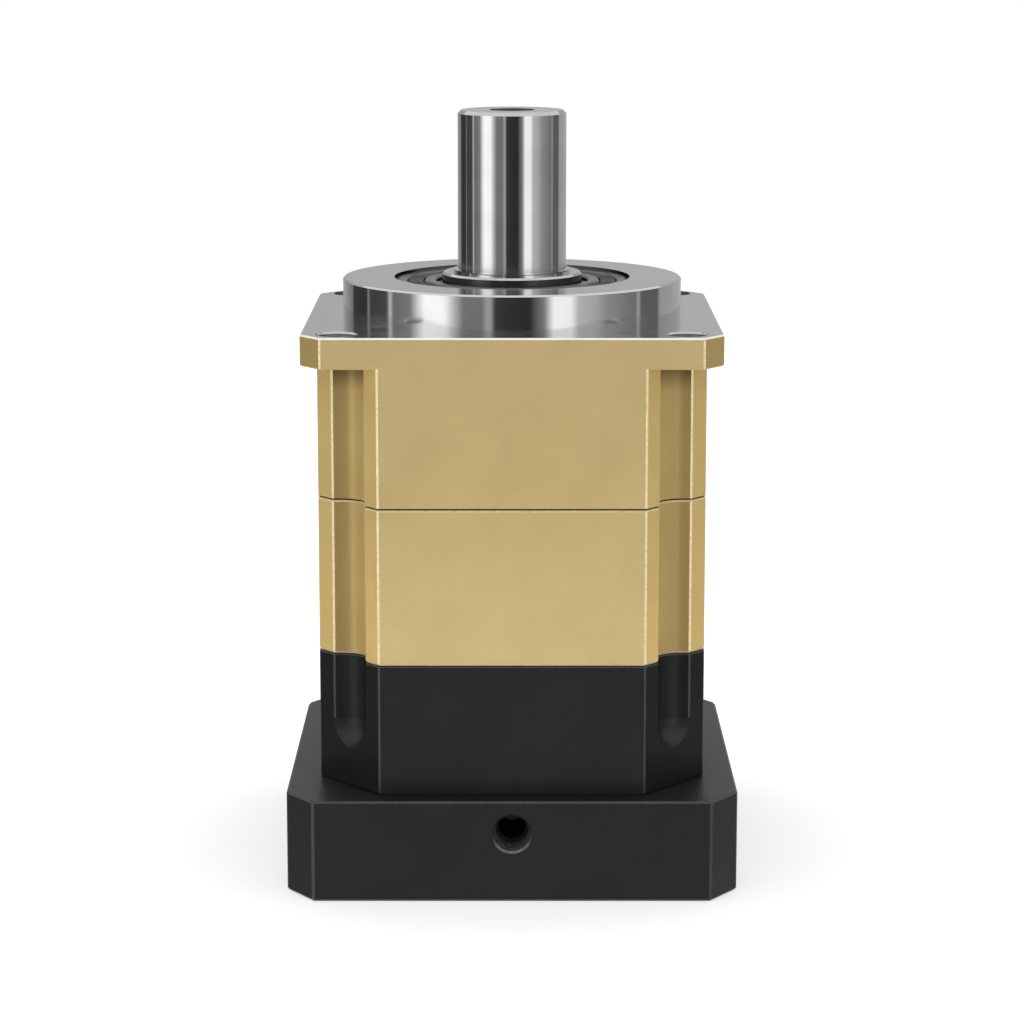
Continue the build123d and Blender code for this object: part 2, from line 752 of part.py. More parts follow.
# Input shaft: slit hub for the motor shaft, bearing seat and sun gear in one piece
with BuildPart() as input_shaft:
    slit_top = hub_mouth_height + hub_slit_length
    hub_seat = input_bearing_bore / 2 - seat_clearance
    turn(
        [
            (motor_shaft_diameter / 2, hub_mouth_height),
            (hub_clamp_diameter / 2, hub_mouth_height),
            (hub_clamp_diameter / 2, slit_top),
            (hub_seat, slit_top),
            (hub_seat, input_seal_top + land_clearance),
            (hub_shoulder_diameter / 2, input_seal_top + land_clearance),
            (hub_shoulder_diameter / 2, input_bearing_bottom),
            (hub_seat, input_bearing_bottom),
            (hub_seat, input_bearing_top),
            (hub_seat - retaining_ring_depth, input_bearing_top),
            (hub_seat - retaining_ring_depth, input_bearing_top + retaining_ring_thickness + axial_play),
            (hub_seat, input_bearing_top + retaining_ring_thickness + axial_play),
            (hub_seat, hub_top),
            (sun_shaft_diameter / 2, hub_top),
            (sun_shaft_diameter / 2, gear_bottom - tooth_overrun),
            (0, gear_bottom - tooth_overrun),
            (0, hub_bore_top),
            (motor_shaft_diameter / 2, hub_bore_top),
        ]
    )
    with BuildSketch(Plane.XY.offset(gear_bottom - tooth_overrun)):
        add(outside_gear(sun_teeth, first_planet_angle))
    extrude(amount=gear_width + 2 * tooth_overrun)
    with BuildSketch(Plane.XY.offset(hub_mouth_height)):
        Rectangle(hub_clamp_diameter, hub_slit_width)
    extrude(amount=hub_slit_length, mode=Mode.SUBTRACT)
input_shaft.part.label = "input_shaft"
export_step(input_shaft.part, "parts/input_shaft.step")

# Collar round the slit hub, with the screw that presses the hub onto the motor shaft
collar_bottom = access_height - clamp_collar_height / 2
screw_start = clamp_collar_diameter / 2 - clamp_screw_inset
with BuildPart() as clamp_collar:
    tube(hub_clamp_diameter / 2 + seat_clearance, clamp_collar_diameter / 2, collar_bottom, clamp_collar_height)
    with BuildSketch(Plane(origin=(0, 0, access_height), z_dir=(0, -1, 0))):
        Circle(clamp_screw_diameter / 2 + screw_clearance)
    extrude(amount=clamp_collar_diameter / 2, mode=Mode.SUBTRACT)
clamp_collar.part.label = "clamp_collar"
export_step(clamp_collar.part, "parts/clamp_collar.step")

with BuildPart() as clamp_screw:
    with BuildSketch(Plane(origin=(0, -screw_start, access_height), z_dir=(0, 1, 0))):
        Circle(clamp_screw_diameter / 2)
    extrude(amount=screw_start - hub_clamp_diameter / 2 - axial_play)
    with BuildSketch(Plane(origin=(0, -screw_start, access_height), z_dir=(0, 1, 0))):
        RegularPolygon(clamp_screw_key / 2, 6, major_radius=False)
    extrude(amount=clamp_screw_key, mode=Mode.SUBTRACT)
clamp_screw.part.label = "clamp_screw"
export_step(clamp_screw.part, "parts/clamp_screw.step")

# Bearings: two rings, rollers and a cage each
bearing_sizes = {
    "front": (
        front_bearing_bottom,
        front_bearing_width,
        front_bearing_bore,
        front_inner_race,
        front_outer_race,
        front_bearing_outside,
        front_roller_count,
    ),
    "rear": (
        rear_bearing_bottom,
        rear_bearing_width,
        rear_bearing_bore,
        rear_inner_race,
        rear_outer_race,
        rear_bearing_outside,
        rear_roller_count,
    ),
    "input": (
        input_bearing_bottom,
        input_bearing_width,
        input_bearing_bore,
        input_inner_race,
        input_outer_race,
        input_bearing_outside,
        input_roller_count,
    ),
}
for name, (bottom, width, bore, inner_race, outer_race, outside, count) in bearing_sizes.items():
    seen = name == "front"
    roller_circle = (inner_race + outer_race) / 4
    roller_radius = (outer_race - inner_race) / 4 - running_clearance
    roller_length = width * roller_length_share
    middle = bottom + width / 2
    cage_reach = roller_length / 2 + cage_pocket_gap + cage_web

    with BuildPart() as inner_ring:
        tube(bore / 2, inner_race / 2, bottom, width)
        if seen:
            chamfer(inner_ring.edges().group_by(Axis.Z)[-1], race_chamfer)
    inner_ring.part.label = f"{name}_bearing_inner_ring"
    export_step(inner_ring.part, f"parts/{name}_bearing_inner_ring.step")

    with BuildPart() as outer_ring:
        tube(outer_race / 2, outside / 2, bottom, width)
        if seen:
            chamfer(outer_ring.edges().group_by(Axis.Z)[-1], race_chamfer)
    outer_ring.part.label = f"{name}_bearing_outer_ring"
    export_step(outer_ring.part, f"parts/{name}_bearing_outer_ring.step")

    with BuildPart() as rollers:
        with BuildSketch(Plane.XY.offset(middle)):
            with PolarLocations(roller_circle, count):
                Circle(roller_radius)
        extrude(amount=roller_length / 2, both=True)
    rollers.part.label = f"{name}_bearing_rollers"
    export_step(rollers.part, f"parts/{name}_bearing_rollers.step")

    with BuildPart() as cage:
        tube(inner_race / 2 + cage_gap, outer_race / 2 - cage_gap, middle - cage_reach, 2 * cage_reach)
        with BuildSketch(Plane.XY.offset(middle)):
            with PolarLocations(roller_circle, count):
                Circle(roller_radius + cage_pocket_gap)
        extrude(amount=roller_length / 2 + cage_pocket_gap, both=True, mode=Mode.SUBTRACT)
        if seen:
            with BuildSketch(Plane.XY.offset(middle + cage_reach)):
                with PolarLocations(roller_circle, count, start_angle=180 / count):
                    Rectangle(outer_race / 2 - inner_race / 2, pad_slot_width)
            extrude(amount=-pad_slot_depth, mode=Mode.SUBTRACT)
    cage.part.label = f"{name}_bearing_cage"
    export_step(cage.part, f"parts/{name}_bearing_cage.step")

# Lock nut that draws the rear bearing against the shoulder of the output shaft
with BuildPart() as bearing_lock_nut:
    tube(seal_land_diameter / 2 + seat_clearance, nut_diameter / 2, rear_bearing_top, nut_height)
    with BuildSketch(Plane.XY.offset(rear_bearing_top)):
        with PolarLocations(nut_diameter / 2, nut_slots):
            Rectangle(2 * nut_slot_depth, nut_slot_width)
    extrude(amount=nut_height, mode=Mode.SUBTRACT)
bearing_lock_nut.part.label = "bearing_lock_nut"
export_step(bearing_lock_nut.part, "parts/bearing_lock_nut.step")


def shaft_seal(land, outside, bottom):
    """Radial shaft seal with a wall in the housing and a lip round its land."""
    top = bottom + seal_height
    turn(
        [
            (outside / 2 - seal_wall, bottom),
            (outside / 2, bottom),
            (outside / 2, top),
            (land / 2 + running_clearance, top),
            (land / 2 + running_clearance, top - seal_lip_height),
            (outside / 2 - seal_wall, top - seal_lip_height),
        ]
    )


with BuildPart() as output_shaft_seal:
    shaft_seal(seal_land_diameter, front_bearing_outside, output_seal_bottom)
output_shaft_seal.part.label = "output_shaft_seal"
export_step(output_shaft_seal.part, "parts/output_shaft_seal.step")

with BuildPart() as input_shaft_seal:
    shaft_seal(input_bearing_bore, input_bearing_outside, input_seal_bottom)
input_shaft_seal.part.label = "input_shaft_seal"
export_step(input_shaft_seal.part, "parts/input_shaft_seal.step")


def retaining_ring(inner, outer):
    """Open spring ring above the input bearing, with its gap at the front."""
    tube(inner, outer, input_bearing_top, retaining_ring_thickness)
    with BuildSketch(Plane.XY.offset(input_bearing_top)) as gap:
        with Locations((0, -(inner + outer) / 2)):
            Rectangle(retaining_ring_gap, outer - inner + retaining_ring_rise)
    extrude(gap.sketch, amount=retaining_ring_thickness, mode=Mode.SUBTRACT)


with BuildPart() as bearing_retaining_ring:
    ring_outer = input_bearing_outside / 2 + retaining_ring_depth
    retaining_ring(ring_outer - retaining_ring_rise, ring_outer)
bearing_retaining_ring.part.label = "bearing_retaining_ring"
export_step(bearing_retaining_ring.part, "parts/bearing_retaining_ring.step")

with BuildPart() as hub_retaining_ring:
    ring_inner = input_bearing_bore / 2 - retaining_ring_depth
    retaining_ring(ring_inner, ring_inner + retaining_ring_rise)
hub_retaining_ring.part.label = "hub_retaining_ring"
export_step(hub_retaining_ring.part, "parts/hub_retaining_ring.step")
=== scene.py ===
# %% [markdown]
# # A planetary servo gearbox, dressed for its portrait
# The CAD model gives every machined piece of this gearbox in its true place. What is left to do here is
# what a finisher does: give each surface the look of its own process, such as turning, grinding or a
# satin coat, and light it so that those looks can be told apart. Everything stands in the CAD's frame, in
# metres, while grain, threads and the places of faces are easier to read in millimetres.

import json
from math import cos, pi, radians, sin, sqrt

import bpy
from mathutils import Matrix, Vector

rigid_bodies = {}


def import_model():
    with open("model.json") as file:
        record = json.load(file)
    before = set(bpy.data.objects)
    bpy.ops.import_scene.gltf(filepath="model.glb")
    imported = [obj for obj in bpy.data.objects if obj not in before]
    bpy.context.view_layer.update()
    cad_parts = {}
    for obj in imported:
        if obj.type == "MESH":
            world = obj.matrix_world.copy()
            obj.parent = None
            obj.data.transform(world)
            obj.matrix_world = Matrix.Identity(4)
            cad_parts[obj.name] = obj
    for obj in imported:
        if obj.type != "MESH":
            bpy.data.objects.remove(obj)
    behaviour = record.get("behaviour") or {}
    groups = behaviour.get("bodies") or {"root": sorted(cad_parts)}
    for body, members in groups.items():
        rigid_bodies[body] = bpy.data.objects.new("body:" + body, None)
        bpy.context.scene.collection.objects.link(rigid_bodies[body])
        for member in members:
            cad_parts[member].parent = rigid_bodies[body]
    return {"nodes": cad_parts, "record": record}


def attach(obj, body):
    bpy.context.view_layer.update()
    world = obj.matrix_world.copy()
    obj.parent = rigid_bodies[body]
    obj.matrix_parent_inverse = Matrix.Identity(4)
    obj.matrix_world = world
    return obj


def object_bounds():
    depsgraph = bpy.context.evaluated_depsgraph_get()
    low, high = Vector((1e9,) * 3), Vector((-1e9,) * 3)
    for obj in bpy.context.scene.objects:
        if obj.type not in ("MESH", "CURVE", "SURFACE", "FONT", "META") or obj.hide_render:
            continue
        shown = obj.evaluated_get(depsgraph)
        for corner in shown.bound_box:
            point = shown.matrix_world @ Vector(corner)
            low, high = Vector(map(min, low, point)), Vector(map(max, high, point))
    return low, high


for leftover in list(bpy.data.objects):
    bpy.data.objects.remove(leftover)

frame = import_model()
machined = frame["nodes"]
bpy.context.view_layer.update()
cad_low, cad_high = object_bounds()
print("pieces from the CAD:", len(machined), "and its box:", tuple(cad_low), tuple(cad_high))

# %% [markdown]
# ## Camera
# The portrait was taken with a long lens, a little above the gearbox, looking slightly down. A long lens
# keeps the upright edges parallel, as catalogue pictures want. The focal length and height below came
# from measuring how fast the edges run together, so the render and the picture can be laid on each other.

# %% Camera
MM = 0.001
camera_distance = 0.9672
camera_height = 0.2808
camera_tilt_down = 10.51
lens_length = 115.2

lens = bpy.data.cameras.new("portrait_lens")
lens.lens = lens_length
lens.sensor_width = 36.0
lens.clip_end = 20.0
portrait = bpy.data.objects.new("portrait_camera", lens)
portrait.location = (0.0, -camera_distance, camera_height)
portrait.rotation_euler = (radians(90.0 - camera_tilt_down), 0.0, 0.0)
bpy.context.scene.collection.objects.link(portrait)
bpy.context.scene.camera = portrait
print("camera at", tuple(portrait.location), "with a lens of", lens.lens, "mm")

# %% [markdown]
# ## Small helpers for materials
# Every finish below starts as the same thing: one Principled shader whose base colour, roughness and
# normal are fed by a few noise textures. A helper that adds a node and one that joins two sockets keep
# the recipes short enough to read as recipes. Values that stay the same all over a finish are set on the
# shader itself.

# %% Helpers for materials
def start_finish(name):
    """A new material with only its output and one Principled shader."""
    finish = bpy.data.materials.new(name)
    finish.use_nodes = True
    tree = finish.node_tree
    return finish, tree, tree.nodes["Principled BSDF"]


def node(tree, kind, **settings):
    """Add one shader node and set the properties named."""
    made = tree.nodes.new(kind)
    for key, value in settings.items():
        setattr(made, key, value)
    return made


def join(tree, source, target):
    """Feed one node's output into another's input."""
    tree.links.new(source, target)


def place(tree):
    """Coordinates fixed to the object, in metres."""
    return node(tree, "ShaderNodeTexCoord").outputs["Object"]


def noise(tree, coordinates, size_mm, detail, roughness=0.55):
    """Noise whose lumps are about size_mm across, as a value from 0 to 1."""
    made = node(tree, "ShaderNodeTexNoise")
    made.inputs["Scale"].default_value = 1.0 / (size_mm * MM)
    made.inputs["Detail"].default_value = detail
    made.inputs["Roughness"].default_value = roughness
    join(tree, coordinates, made.inputs["Vector"])
    return made.outputs["Fac"]


def spread(tree, value, low, high, start=0.3, end=0.7):
    """Map a noise value onto the range from low to high."""
    made = node(tree, "ShaderNodeMapRange")
    made.inputs["From Min"].default_value = start
    made.inputs["From Max"].default_value = end
    made.inputs["To Min"].default_value = low
    made.inputs["To Max"].default_value = high
    join(tree, value, made.inputs["Value"])
    return made.outputs["Result"]


def tint(tree, value, dark, light, start=0.3, end=0.7):
    """Run between two colours as a noise value rises."""
    made = node(tree, "ShaderNodeValToRGB")
    made.color_ramp.elements[0].position = start
    made.color_ramp.elements[0].color = (*dark, 1.0)
    made.color_ramp.elements[1].position = end
    made.color_ramp.elements[1].color = (*light, 1.0)
    join(tree, value, made.inputs["Fac"])
    return made.outputs["Color"]


def bump(tree, height, depth_mm, strength):
    """Turn a height value into a normal, for hills up to depth_mm high."""
    made = node(tree, "ShaderNodeBump")
    made.inputs["Strength"].default_value = strength
    made.inputs["Distance"].default_value = depth_mm * MM
    join(tree, height, made.inputs["Height"])
    return made.outputs["Normal"]


def shader_of(finish):
    """The shader of a finish, on which values that stay the same all over are set."""
    return finish.node_tree.nodes["Principled BSDF"]


print("helpers ready, with a millimetre of", MM, "m")

# %% [markdown]
# ## Gold and black coats
# The housings are milled aluminium with a thin satin coat. Close up, such a coat has a fine tooth from
# the blasting under it and a slow drift in tone where it lies thicker. A metal flake could be scattered
# as geometry, but at this distance two scales of noise in colour and one in the bump say the same. The
# corner faces turn away from the light in front, so they get copies of the coat with the light painted in:
# painted light on the gold body's corners, painted shade on the flange's corners and on the black ones.

# %% Satin coats
def satin_coat(name, dark, light, metal, gloss):
    """A coat whose colour drifts between dark and light, over a fine blasted tooth."""
    finish, tree, shader = start_finish(name)
    here = place(tree)
    drift = noise(tree, here, 18.0, detail=3.0)
    grain = noise(tree, here, 0.35, detail=2.0)
    tooth = noise(tree, here, 0.16, detail=1.0)
    mixed = node(tree, "ShaderNodeMix", data_type="FLOAT")
    mixed.inputs[0].default_value = 0.4
    join(tree, drift, mixed.inputs[2])
    join(tree, grain, mixed.inputs[3])
    join(tree, tint(tree, mixed.outputs[0], dark, light, 0.38, 0.62), shader.inputs["Base Color"])
    join(tree, spread(tree, grain, *gloss), shader.inputs["Roughness"])
    join(tree, bump(tree, tooth, 0.012, 0.6), shader.inputs["Normal"])
    shader.inputs["Metallic"].default_value = metal
    shader.inputs["Specular IOR Level"].default_value = 0.4
    return finish


gold_coat = satin_coat(
    "gold_coat", (0.53, 0.4, 0.178), (0.58, 0.44, 0.204),
    metal=0.45, gloss=(0.4, 0.5),
)
# A lighter copy of the coat for the body's corner faces: painted light.
corner_gold_painted_light = satin_coat(
    "corner_gold_painted_light", (0.66, 0.47, 0.174), (0.72, 0.52, 0.2),
    metal=0.45, gloss=(0.4, 0.5),
)
# A darker copy of the coat for the flange's corner faces: painted shade.
flange_corner_painted_shade = satin_coat(
    "flange_corner_painted_shade", (0.45, 0.33, 0.115), (0.5, 0.365, 0.132),
    metal=0.45, gloss=(0.4, 0.5),
)
black_coat = satin_coat(
    "black_coat", (0.0054, 0.0063, 0.007), (0.007, 0.0081, 0.0089),
    metal=0.0, gloss=(0.34, 0.44),
)
# A darker, less shiny copy of the black coat for its corners and channels: painted shade.
corner_black_painted_shade = satin_coat(
    "corner_black_painted_shade", (0.005, 0.0055, 0.006), (0.0065, 0.007, 0.0078),
    metal=0.0, gloss=(0.3, 0.4),
)
shader_of(corner_black_painted_shade).inputs["Specular IOR Level"].default_value = 0.25
print("gold coats:", gold_coat.name, corner_gold_painted_light.name, flange_corner_painted_shade.name)
print("black coats:", black_coat.name, corner_black_painted_shade.name)

# %% [markdown]
# ## Gold with painted bounce light
# The coat grows a shade deeper from the foot of the lower gold housing to a little above the joint, and
# keeps that shade up to the flange. That is painted light: the bounce from the paper onto the lower walls
# is laid into the colour. A texture would need an unwrapped mesh. The height of a point is known without
# one, so a tone read from it is multiplied over the finished colour, and the recipe of the coat stays as it
# is.

# %% Tone that follows height
def along_axis(tree, coordinates):
    """How high a point is above the motor face, in metres."""
    made = node(tree, "ShaderNodeSeparateXYZ")
    join(tree, coordinates, made.inputs["Vector"])
    return made.outputs["Z"]


def darken(finish, tone):
    """Multiply the colour of a finish by a tone, where 1 leaves it as it is."""
    tree = finish.node_tree
    colour = shader_of(finish).inputs["Base Color"]
    made = node(tree, "ShaderNodeMix", data_type="RGBA", blend_type="MULTIPLY")
    made.inputs[0].default_value = 1.0
    join(tree, colour.links[0].from_socket, made.inputs[6])
    join(tree, tone, made.inputs[7])
    join(tree, made.outputs[2], colour)


def tone_by_height(finish, tone_low, tone_high, low, high):
    """Change the tone of a finish evenly between two heights, in metres above the motor face."""
    tree = finish.node_tree
    darken(finish, spread(tree, along_axis(tree, place(tree)), tone_low, tone_high, low, high))


# Painted bounce light: the gold is lightest at the foot of the lower housing and deeper above.
gold_foot = 0.07
gold_shoulder = 0.118
for gold in (gold_coat, corner_gold_painted_light, flange_corner_painted_shade):
    tone_by_height(gold, tone_low=1.04, tone_high=0.9, low=gold_foot, high=gold_shoulder)
    print(gold.name, "deepens between", gold_foot, "and", gold_shoulder, "m")

# %% [markdown]
# ## Painted shade inside the bolt channels
# The four channels are milled with a long cutter after blasting, so the coat lies on smoother metal there.
# Their colour is a deeper copy of the coat with painted shade, lighter toward the inner side and darkest
# toward the outer side and close under the flange, which shades them. The tone comes from two distances:
# how far a point is from the middle of the gearbox, and how close it lies under the flange.

# %% Coat inside the channels
# A deeper copy of the coat for the channel walls: painted shade.
channel_gold_painted_shade = satin_coat(
    "channel_gold_painted_shade", (0.42, 0.3, 0.105), (0.46, 0.335, 0.125),
    metal=0.45, gloss=(0.3, 0.38),
)
channel_tree = channel_gold_painted_shade.node_tree
parts = node(channel_tree, "ShaderNodeSeparateXYZ")
join(channel_tree, place(channel_tree), parts.inputs["Vector"])
outward = node(channel_tree, "ShaderNodeMath", operation="ABSOLUTE")
join(channel_tree, parts.outputs["X"], outward.inputs[0])
channel_near, channel_far = 0.042, 0.0468
shade_start, shade_full = 0.1445, 0.1515
# Painted shade: lighter toward the inner side, darker toward the outer side, and darker again close under
# the flange.
painted_channel_shade = spread(channel_tree, outward.outputs["Value"], 1.42, 0.74, channel_near, channel_far)
painted_flange_shadow = spread(channel_tree, parts.outputs["Z"], 1.0, 0.3, shade_start, shade_full)
both_tones = node(channel_tree, "ShaderNodeMath", operation="MULTIPLY")
join(channel_tree, painted_channel_shade, both_tones.inputs[0])
join(channel_tree, painted_flange_shadow, both_tones.inputs[1])
darken(channel_gold_painted_shade, both_tones.outputs["Value"])
print(channel_gold_painted_shade.name, "deepens from", channel_near, "to", channel_far, "m off the middle")

# %% [markdown]
# ## Edge highlights, worn edges and shaded joints
# A coat is thinnest on an edge, and that is where the first handling shows. Every edge of these housings
# is broken by a narrow bevel, so the bevel faces get their own finish: the coat's own colour with brighter
# metal showing through in fine flecks, made light enough to be a painted highlight along the edge. The
# gold bevel that faces down into a joint gets painted shade instead. The black rim below the gold shows
# only a painted line of light at its foot, and the rim of the access hole painted light only in its lower
# half, where it looks up, with painted shade above, so both lose their tone with height.

# %% Edge highlights, worn edges and shaded joints
def edge_wear_and_painted_light(name, coat, metal, metallic, gloss):
    """A coat worn through in flecks, where metal is the colour that shows; most of its uses here are painted
    highlights and painted shade on bevels.
    """
    finish, tree, shader = start_finish(name)
    here = place(tree)
    flecks = noise(tree, here, 0.9, detail=5.0, roughness=0.7)
    join(tree, tint(tree, flecks, coat, metal, 0.36, 0.6), shader.inputs["Base Color"])
    join(tree, spread(tree, flecks, gloss + 0.08, gloss), shader.inputs["Roughness"])
    join(tree, bump(tree, noise(tree, here, 0.2, detail=1.0), 0.006, 0.4), shader.inputs["Normal"])
    shader.inputs["Metallic"].default_value = metallic
    return finish


# Painted highlight along the gold bevels, over flecks of wear.
gold_edge_wear_and_highlight = edge_wear_and_painted_light(
    "gold_edge_wear_and_highlight", (0.6, 0.48, 0.25), (0.76, 0.64, 0.39),
    metallic=0.25, gloss=0.3,
)
# Painted highlight along the black bevels, over flecks of wear.
black_edge_wear_and_highlight = edge_wear_and_painted_light(
    "black_edge_wear_and_highlight", (0.017, 0.018, 0.02), (0.034, 0.036, 0.039),
    metallic=0.2, gloss=0.34,
)
# Painted shade on the gold bevel that faces down into a joint.
joint_painted_shade = edge_wear_and_painted_light(
    "joint_painted_shade", (0.026, 0.014, 0.004), (0.04, 0.022, 0.007),
    metallic=0.0, gloss=0.7,
)
shader_of(joint_painted_shade).inputs["Specular IOR Level"].default_value = 0.0
# Painted highlight at the foot of the black rim, fading to black above it.
black_rim_painted_highlight = edge_wear_and_painted_light(
    "black_rim_painted_highlight", (0.06, 0.064, 0.068), (0.09, 0.095, 0.1),
    metallic=0.0, gloss=0.4,
)
rim_low, rim_high = 0.06703, 0.06712
tone_by_height(black_rim_painted_highlight, tone_low=1.0, tone_high=0.02, low=rim_low, high=rim_high)
# Painted light on the lower half of the access hole's rim, painted shade above it.
access_rim_painted_light = edge_wear_and_painted_light(
    "access_rim_painted_light", (0.07, 0.072, 0.075), (0.13, 0.133, 0.137),
    metallic=0.5, gloss=0.3,
)
access_low, access_high = 0.0155, 0.0205
tone_by_height(access_rim_painted_light, tone_low=1.0, tone_high=0.12, low=access_low, high=access_high)
tapped_metal = edge_wear_and_painted_light(
    "tapped_metal", (0.05, 0.052, 0.055), (0.17, 0.175, 0.18),
    metallic=0.7, gloss=0.25,
)
for worn in (gold_edge_wear_and_highlight, black_edge_wear_and_highlight, joint_painted_shade, black_rim_painted_highlight, access_rim_painted_light, tapped_metal):
    print("edge finish:", worn.name)

# %% [markdown]
# ## Turned and ground metal
# The pilot and the flange face are turned in one setting, so their tool marks are rings round the axis.
# The shaft is ground, so its marks are finer rings too. Rings spread a reflection across themselves,
# which stretches it into long upright streaks. The ring pattern is noise read along the radius or the
# height only, so it is the same all the way round. Metal deep in a hole or a gap sees little light, so it
# gets a dark finish that is painted shade, and the flange's outer chamfer a bright one that is a painted
# highlight.

# %% A recipe for metal with rings
def distance_from_axis(tree, coordinates):
    """How far a point is from the gearbox's axis, in metres."""
    flattened = node(tree, "ShaderNodeMapping")
    flattened.inputs["Scale"].default_value = (1.0, 1.0, 0.0)
    join(tree, coordinates, flattened.inputs["Vector"])
    made = node(tree, "ShaderNodeVectorMath", operation="LENGTH")
    join(tree, flattened.outputs["Vector"], made.inputs[0])
    return made.outputs["Value"]


def as_vector(tree, x, z):
    """Coordinates built from two values, so that noise read there can't change with the third."""
    made = node(tree, "ShaderNodeCombineXYZ")
    join(tree, x, made.inputs["X"])
    join(tree, z, made.inputs["Z"])
    return made.outputs["Vector"]


def ringed_metal(name, dark, light, gloss, ring_mm, depth_mm, stretch=0.6):
    """Bare metal with tool marks that run round the gearbox's axis, ring_mm apart and depth_mm deep."""
    finish, tree, shader = start_finish(name)
    here = place(tree)
    rings = as_vector(tree, x=distance_from_axis(tree, here), z=along_axis(tree, here))
    marks = noise(tree, rings, ring_mm, detail=3.0, roughness=0.7)
    broad = noise(tree, rings, ring_mm * 14.0, detail=2.0)
    smudge = noise(tree, here, 9.0, detail=4.0)
    join(tree, tint(tree, smudge, dark, light), shader.inputs["Base Color"])
    both = node(tree, "ShaderNodeMath", operation="MULTIPLY_ADD")
    both.inputs[1].default_value = 0.5
    join(tree, broad, both.inputs[0])
    join(tree, smudge, both.inputs[2])
    join(tree, spread(tree, both.outputs["Value"], *gloss, 0.5, 1.0), shader.inputs["Roughness"])
    join(tree, bump(tree, marks, depth_mm, 0.35), shader.inputs["Normal"])
    shader.inputs["Metallic"].default_value = 1.0
    shader.inputs["Anisotropic"].default_value = stretch
    shader.inputs["Anisotropic Rotation"].default_value = 0.25
    round_axis = node(tree, "ShaderNodeTangent", direction_type="RADIAL", axis="Z")
    join(tree, round_axis.outputs["Tangent"], shader.inputs["Tangent"])
    return finish


print("a recipe for turned and ground metal is ready")

# %% Turned and ground metal
bare_face = ringed_metal(
    "bare_face", (0.6, 0.6, 0.595), (0.66, 0.66, 0.65),
    gloss=(0.11, 0.17), ring_mm=0.25, depth_mm=0.0008,
)
turned_side = ringed_metal(
    "turned_side", (0.62, 0.62, 0.615), (0.68, 0.68, 0.67),
    gloss=(0.08, 0.1), ring_mm=0.2, depth_mm=0.0003, stretch=0.7,
)
ground_steel = ringed_metal(
    "ground_steel", (0.62, 0.615, 0.61), (0.68, 0.675, 0.665),
    gloss=(0.07, 0.09), ring_mm=0.12, depth_mm=0.0002, stretch=0.7,
)
cut_edge = ringed_metal(
    "cut_edge", (0.5, 0.5, 0.495), (0.6, 0.6, 0.59),
    gloss=(0.1, 0.14), ring_mm=0.3, depth_mm=0.0003, stretch=0.0,
)
# The flange's bare outer chamfer, brighter than the turned face beside it: a painted highlight.
bright_edge_painted_highlight = ringed_metal(
    "bright_edge_painted_highlight", (0.88, 0.87, 0.83), (0.97, 0.96, 0.92),
    gloss=(0.3, 0.4), ring_mm=0.3, depth_mm=0.0005, stretch=0.0,
)
drilled_wall = ringed_metal(
    "drilled_wall", (0.52, 0.52, 0.515), (0.64, 0.64, 0.63),
    gloss=(0.28, 0.36), ring_mm=0.3, depth_mm=0.001, stretch=0.0,
)
# Painted shade for metal deep in holes and gaps, with little shine left at a glancing angle.
painted_shade_metal = ringed_metal(
    "painted_shade_metal", (0.05, 0.05, 0.05), (0.09, 0.09, 0.088),
    gloss=(0.2, 0.3), ring_mm=0.3, depth_mm=0.001, stretch=0.0,
)
turned_steel = ringed_metal(
    "turned_steel", (0.4, 0.4, 0.4), (0.5, 0.5, 0.49),
    gloss=(0.26, 0.38), ring_mm=0.4, depth_mm=0.004,
)
gear_steel = ringed_metal(
    "gear_steel", (0.34, 0.34, 0.35), (0.42, 0.42, 0.42),
    gloss=(0.24, 0.36), ring_mm=0.3, depth_mm=0.003,
)
bearing_steel = ringed_metal(
    "bearing_steel", (0.12, 0.12, 0.12), (0.16, 0.16, 0.16),
    gloss=(0.22, 0.3), ring_mm=0.2, depth_mm=0.002,
)
for metal, kept in ((bearing_steel, 0.92), (painted_shade_metal, 0.1)):
    shader_of(metal).inputs["Specular Tint"].default_value = (kept, kept, kept, 1.0)
    print(metal.name, "keeps", kept, "of its shine at a glancing angle")

# %% [markdown]
# ## Finishes of the small pieces
# The bearing's cage shows in the pilot. Seals, blackened screws and bronze bushes show only when the
# gearbox is taken apart, as a part in a library may be. Each gets the grain of its own process at its own
# scale.

# %% Finishes of the small pieces
def grained(name, dark, light, gloss, grain_mm, depth_mm):
    """A moulded, blackened or cast skin with an even grain."""
    finish, tree, shader = start_finish(name)
    here = place(tree)
    grain = noise(tree, here, grain_mm, detail=3.0)
    cloud = noise(tree, here, 12.0, detail=2.0)
    join(tree, tint(tree, cloud, dark, light), shader.inputs["Base Color"])
    join(tree, spread(tree, grain, *gloss), shader.inputs["Roughness"])
    join(tree, bump(tree, grain, depth_mm, 0.5), shader.inputs["Normal"])
    return finish


cage_plastic = grained(
    "cage_plastic", (0.035, 0.035, 0.036), (0.05, 0.05, 0.05),
    gloss=(0.42, 0.55), grain_mm=0.5, depth_mm=0.01,
)
shader_of(cage_plastic).inputs["Specular IOR Level"].default_value = 0.12
slot_shadow = grained(
    "slot_shadow", (0.002, 0.002, 0.002), (0.004, 0.004, 0.004),
    gloss=(0.6, 0.7), grain_mm=0.5, depth_mm=0.01,
)
shader_of(slot_shadow).inputs["Specular IOR Level"].default_value = 0.0
seal_rubber = grained(
    "seal_rubber", (0.018, 0.018, 0.018), (0.03, 0.03, 0.03),
    gloss=(0.6, 0.75), grain_mm=0.3, depth_mm=0.01,
)
black_oxide = grained(
    "black_oxide", (0.03, 0.03, 0.032), (0.05, 0.05, 0.052),
    gloss=(0.32, 0.45), grain_mm=0.2, depth_mm=0.004,
)
shader_of(black_oxide).inputs["Metallic"].default_value = 0.8
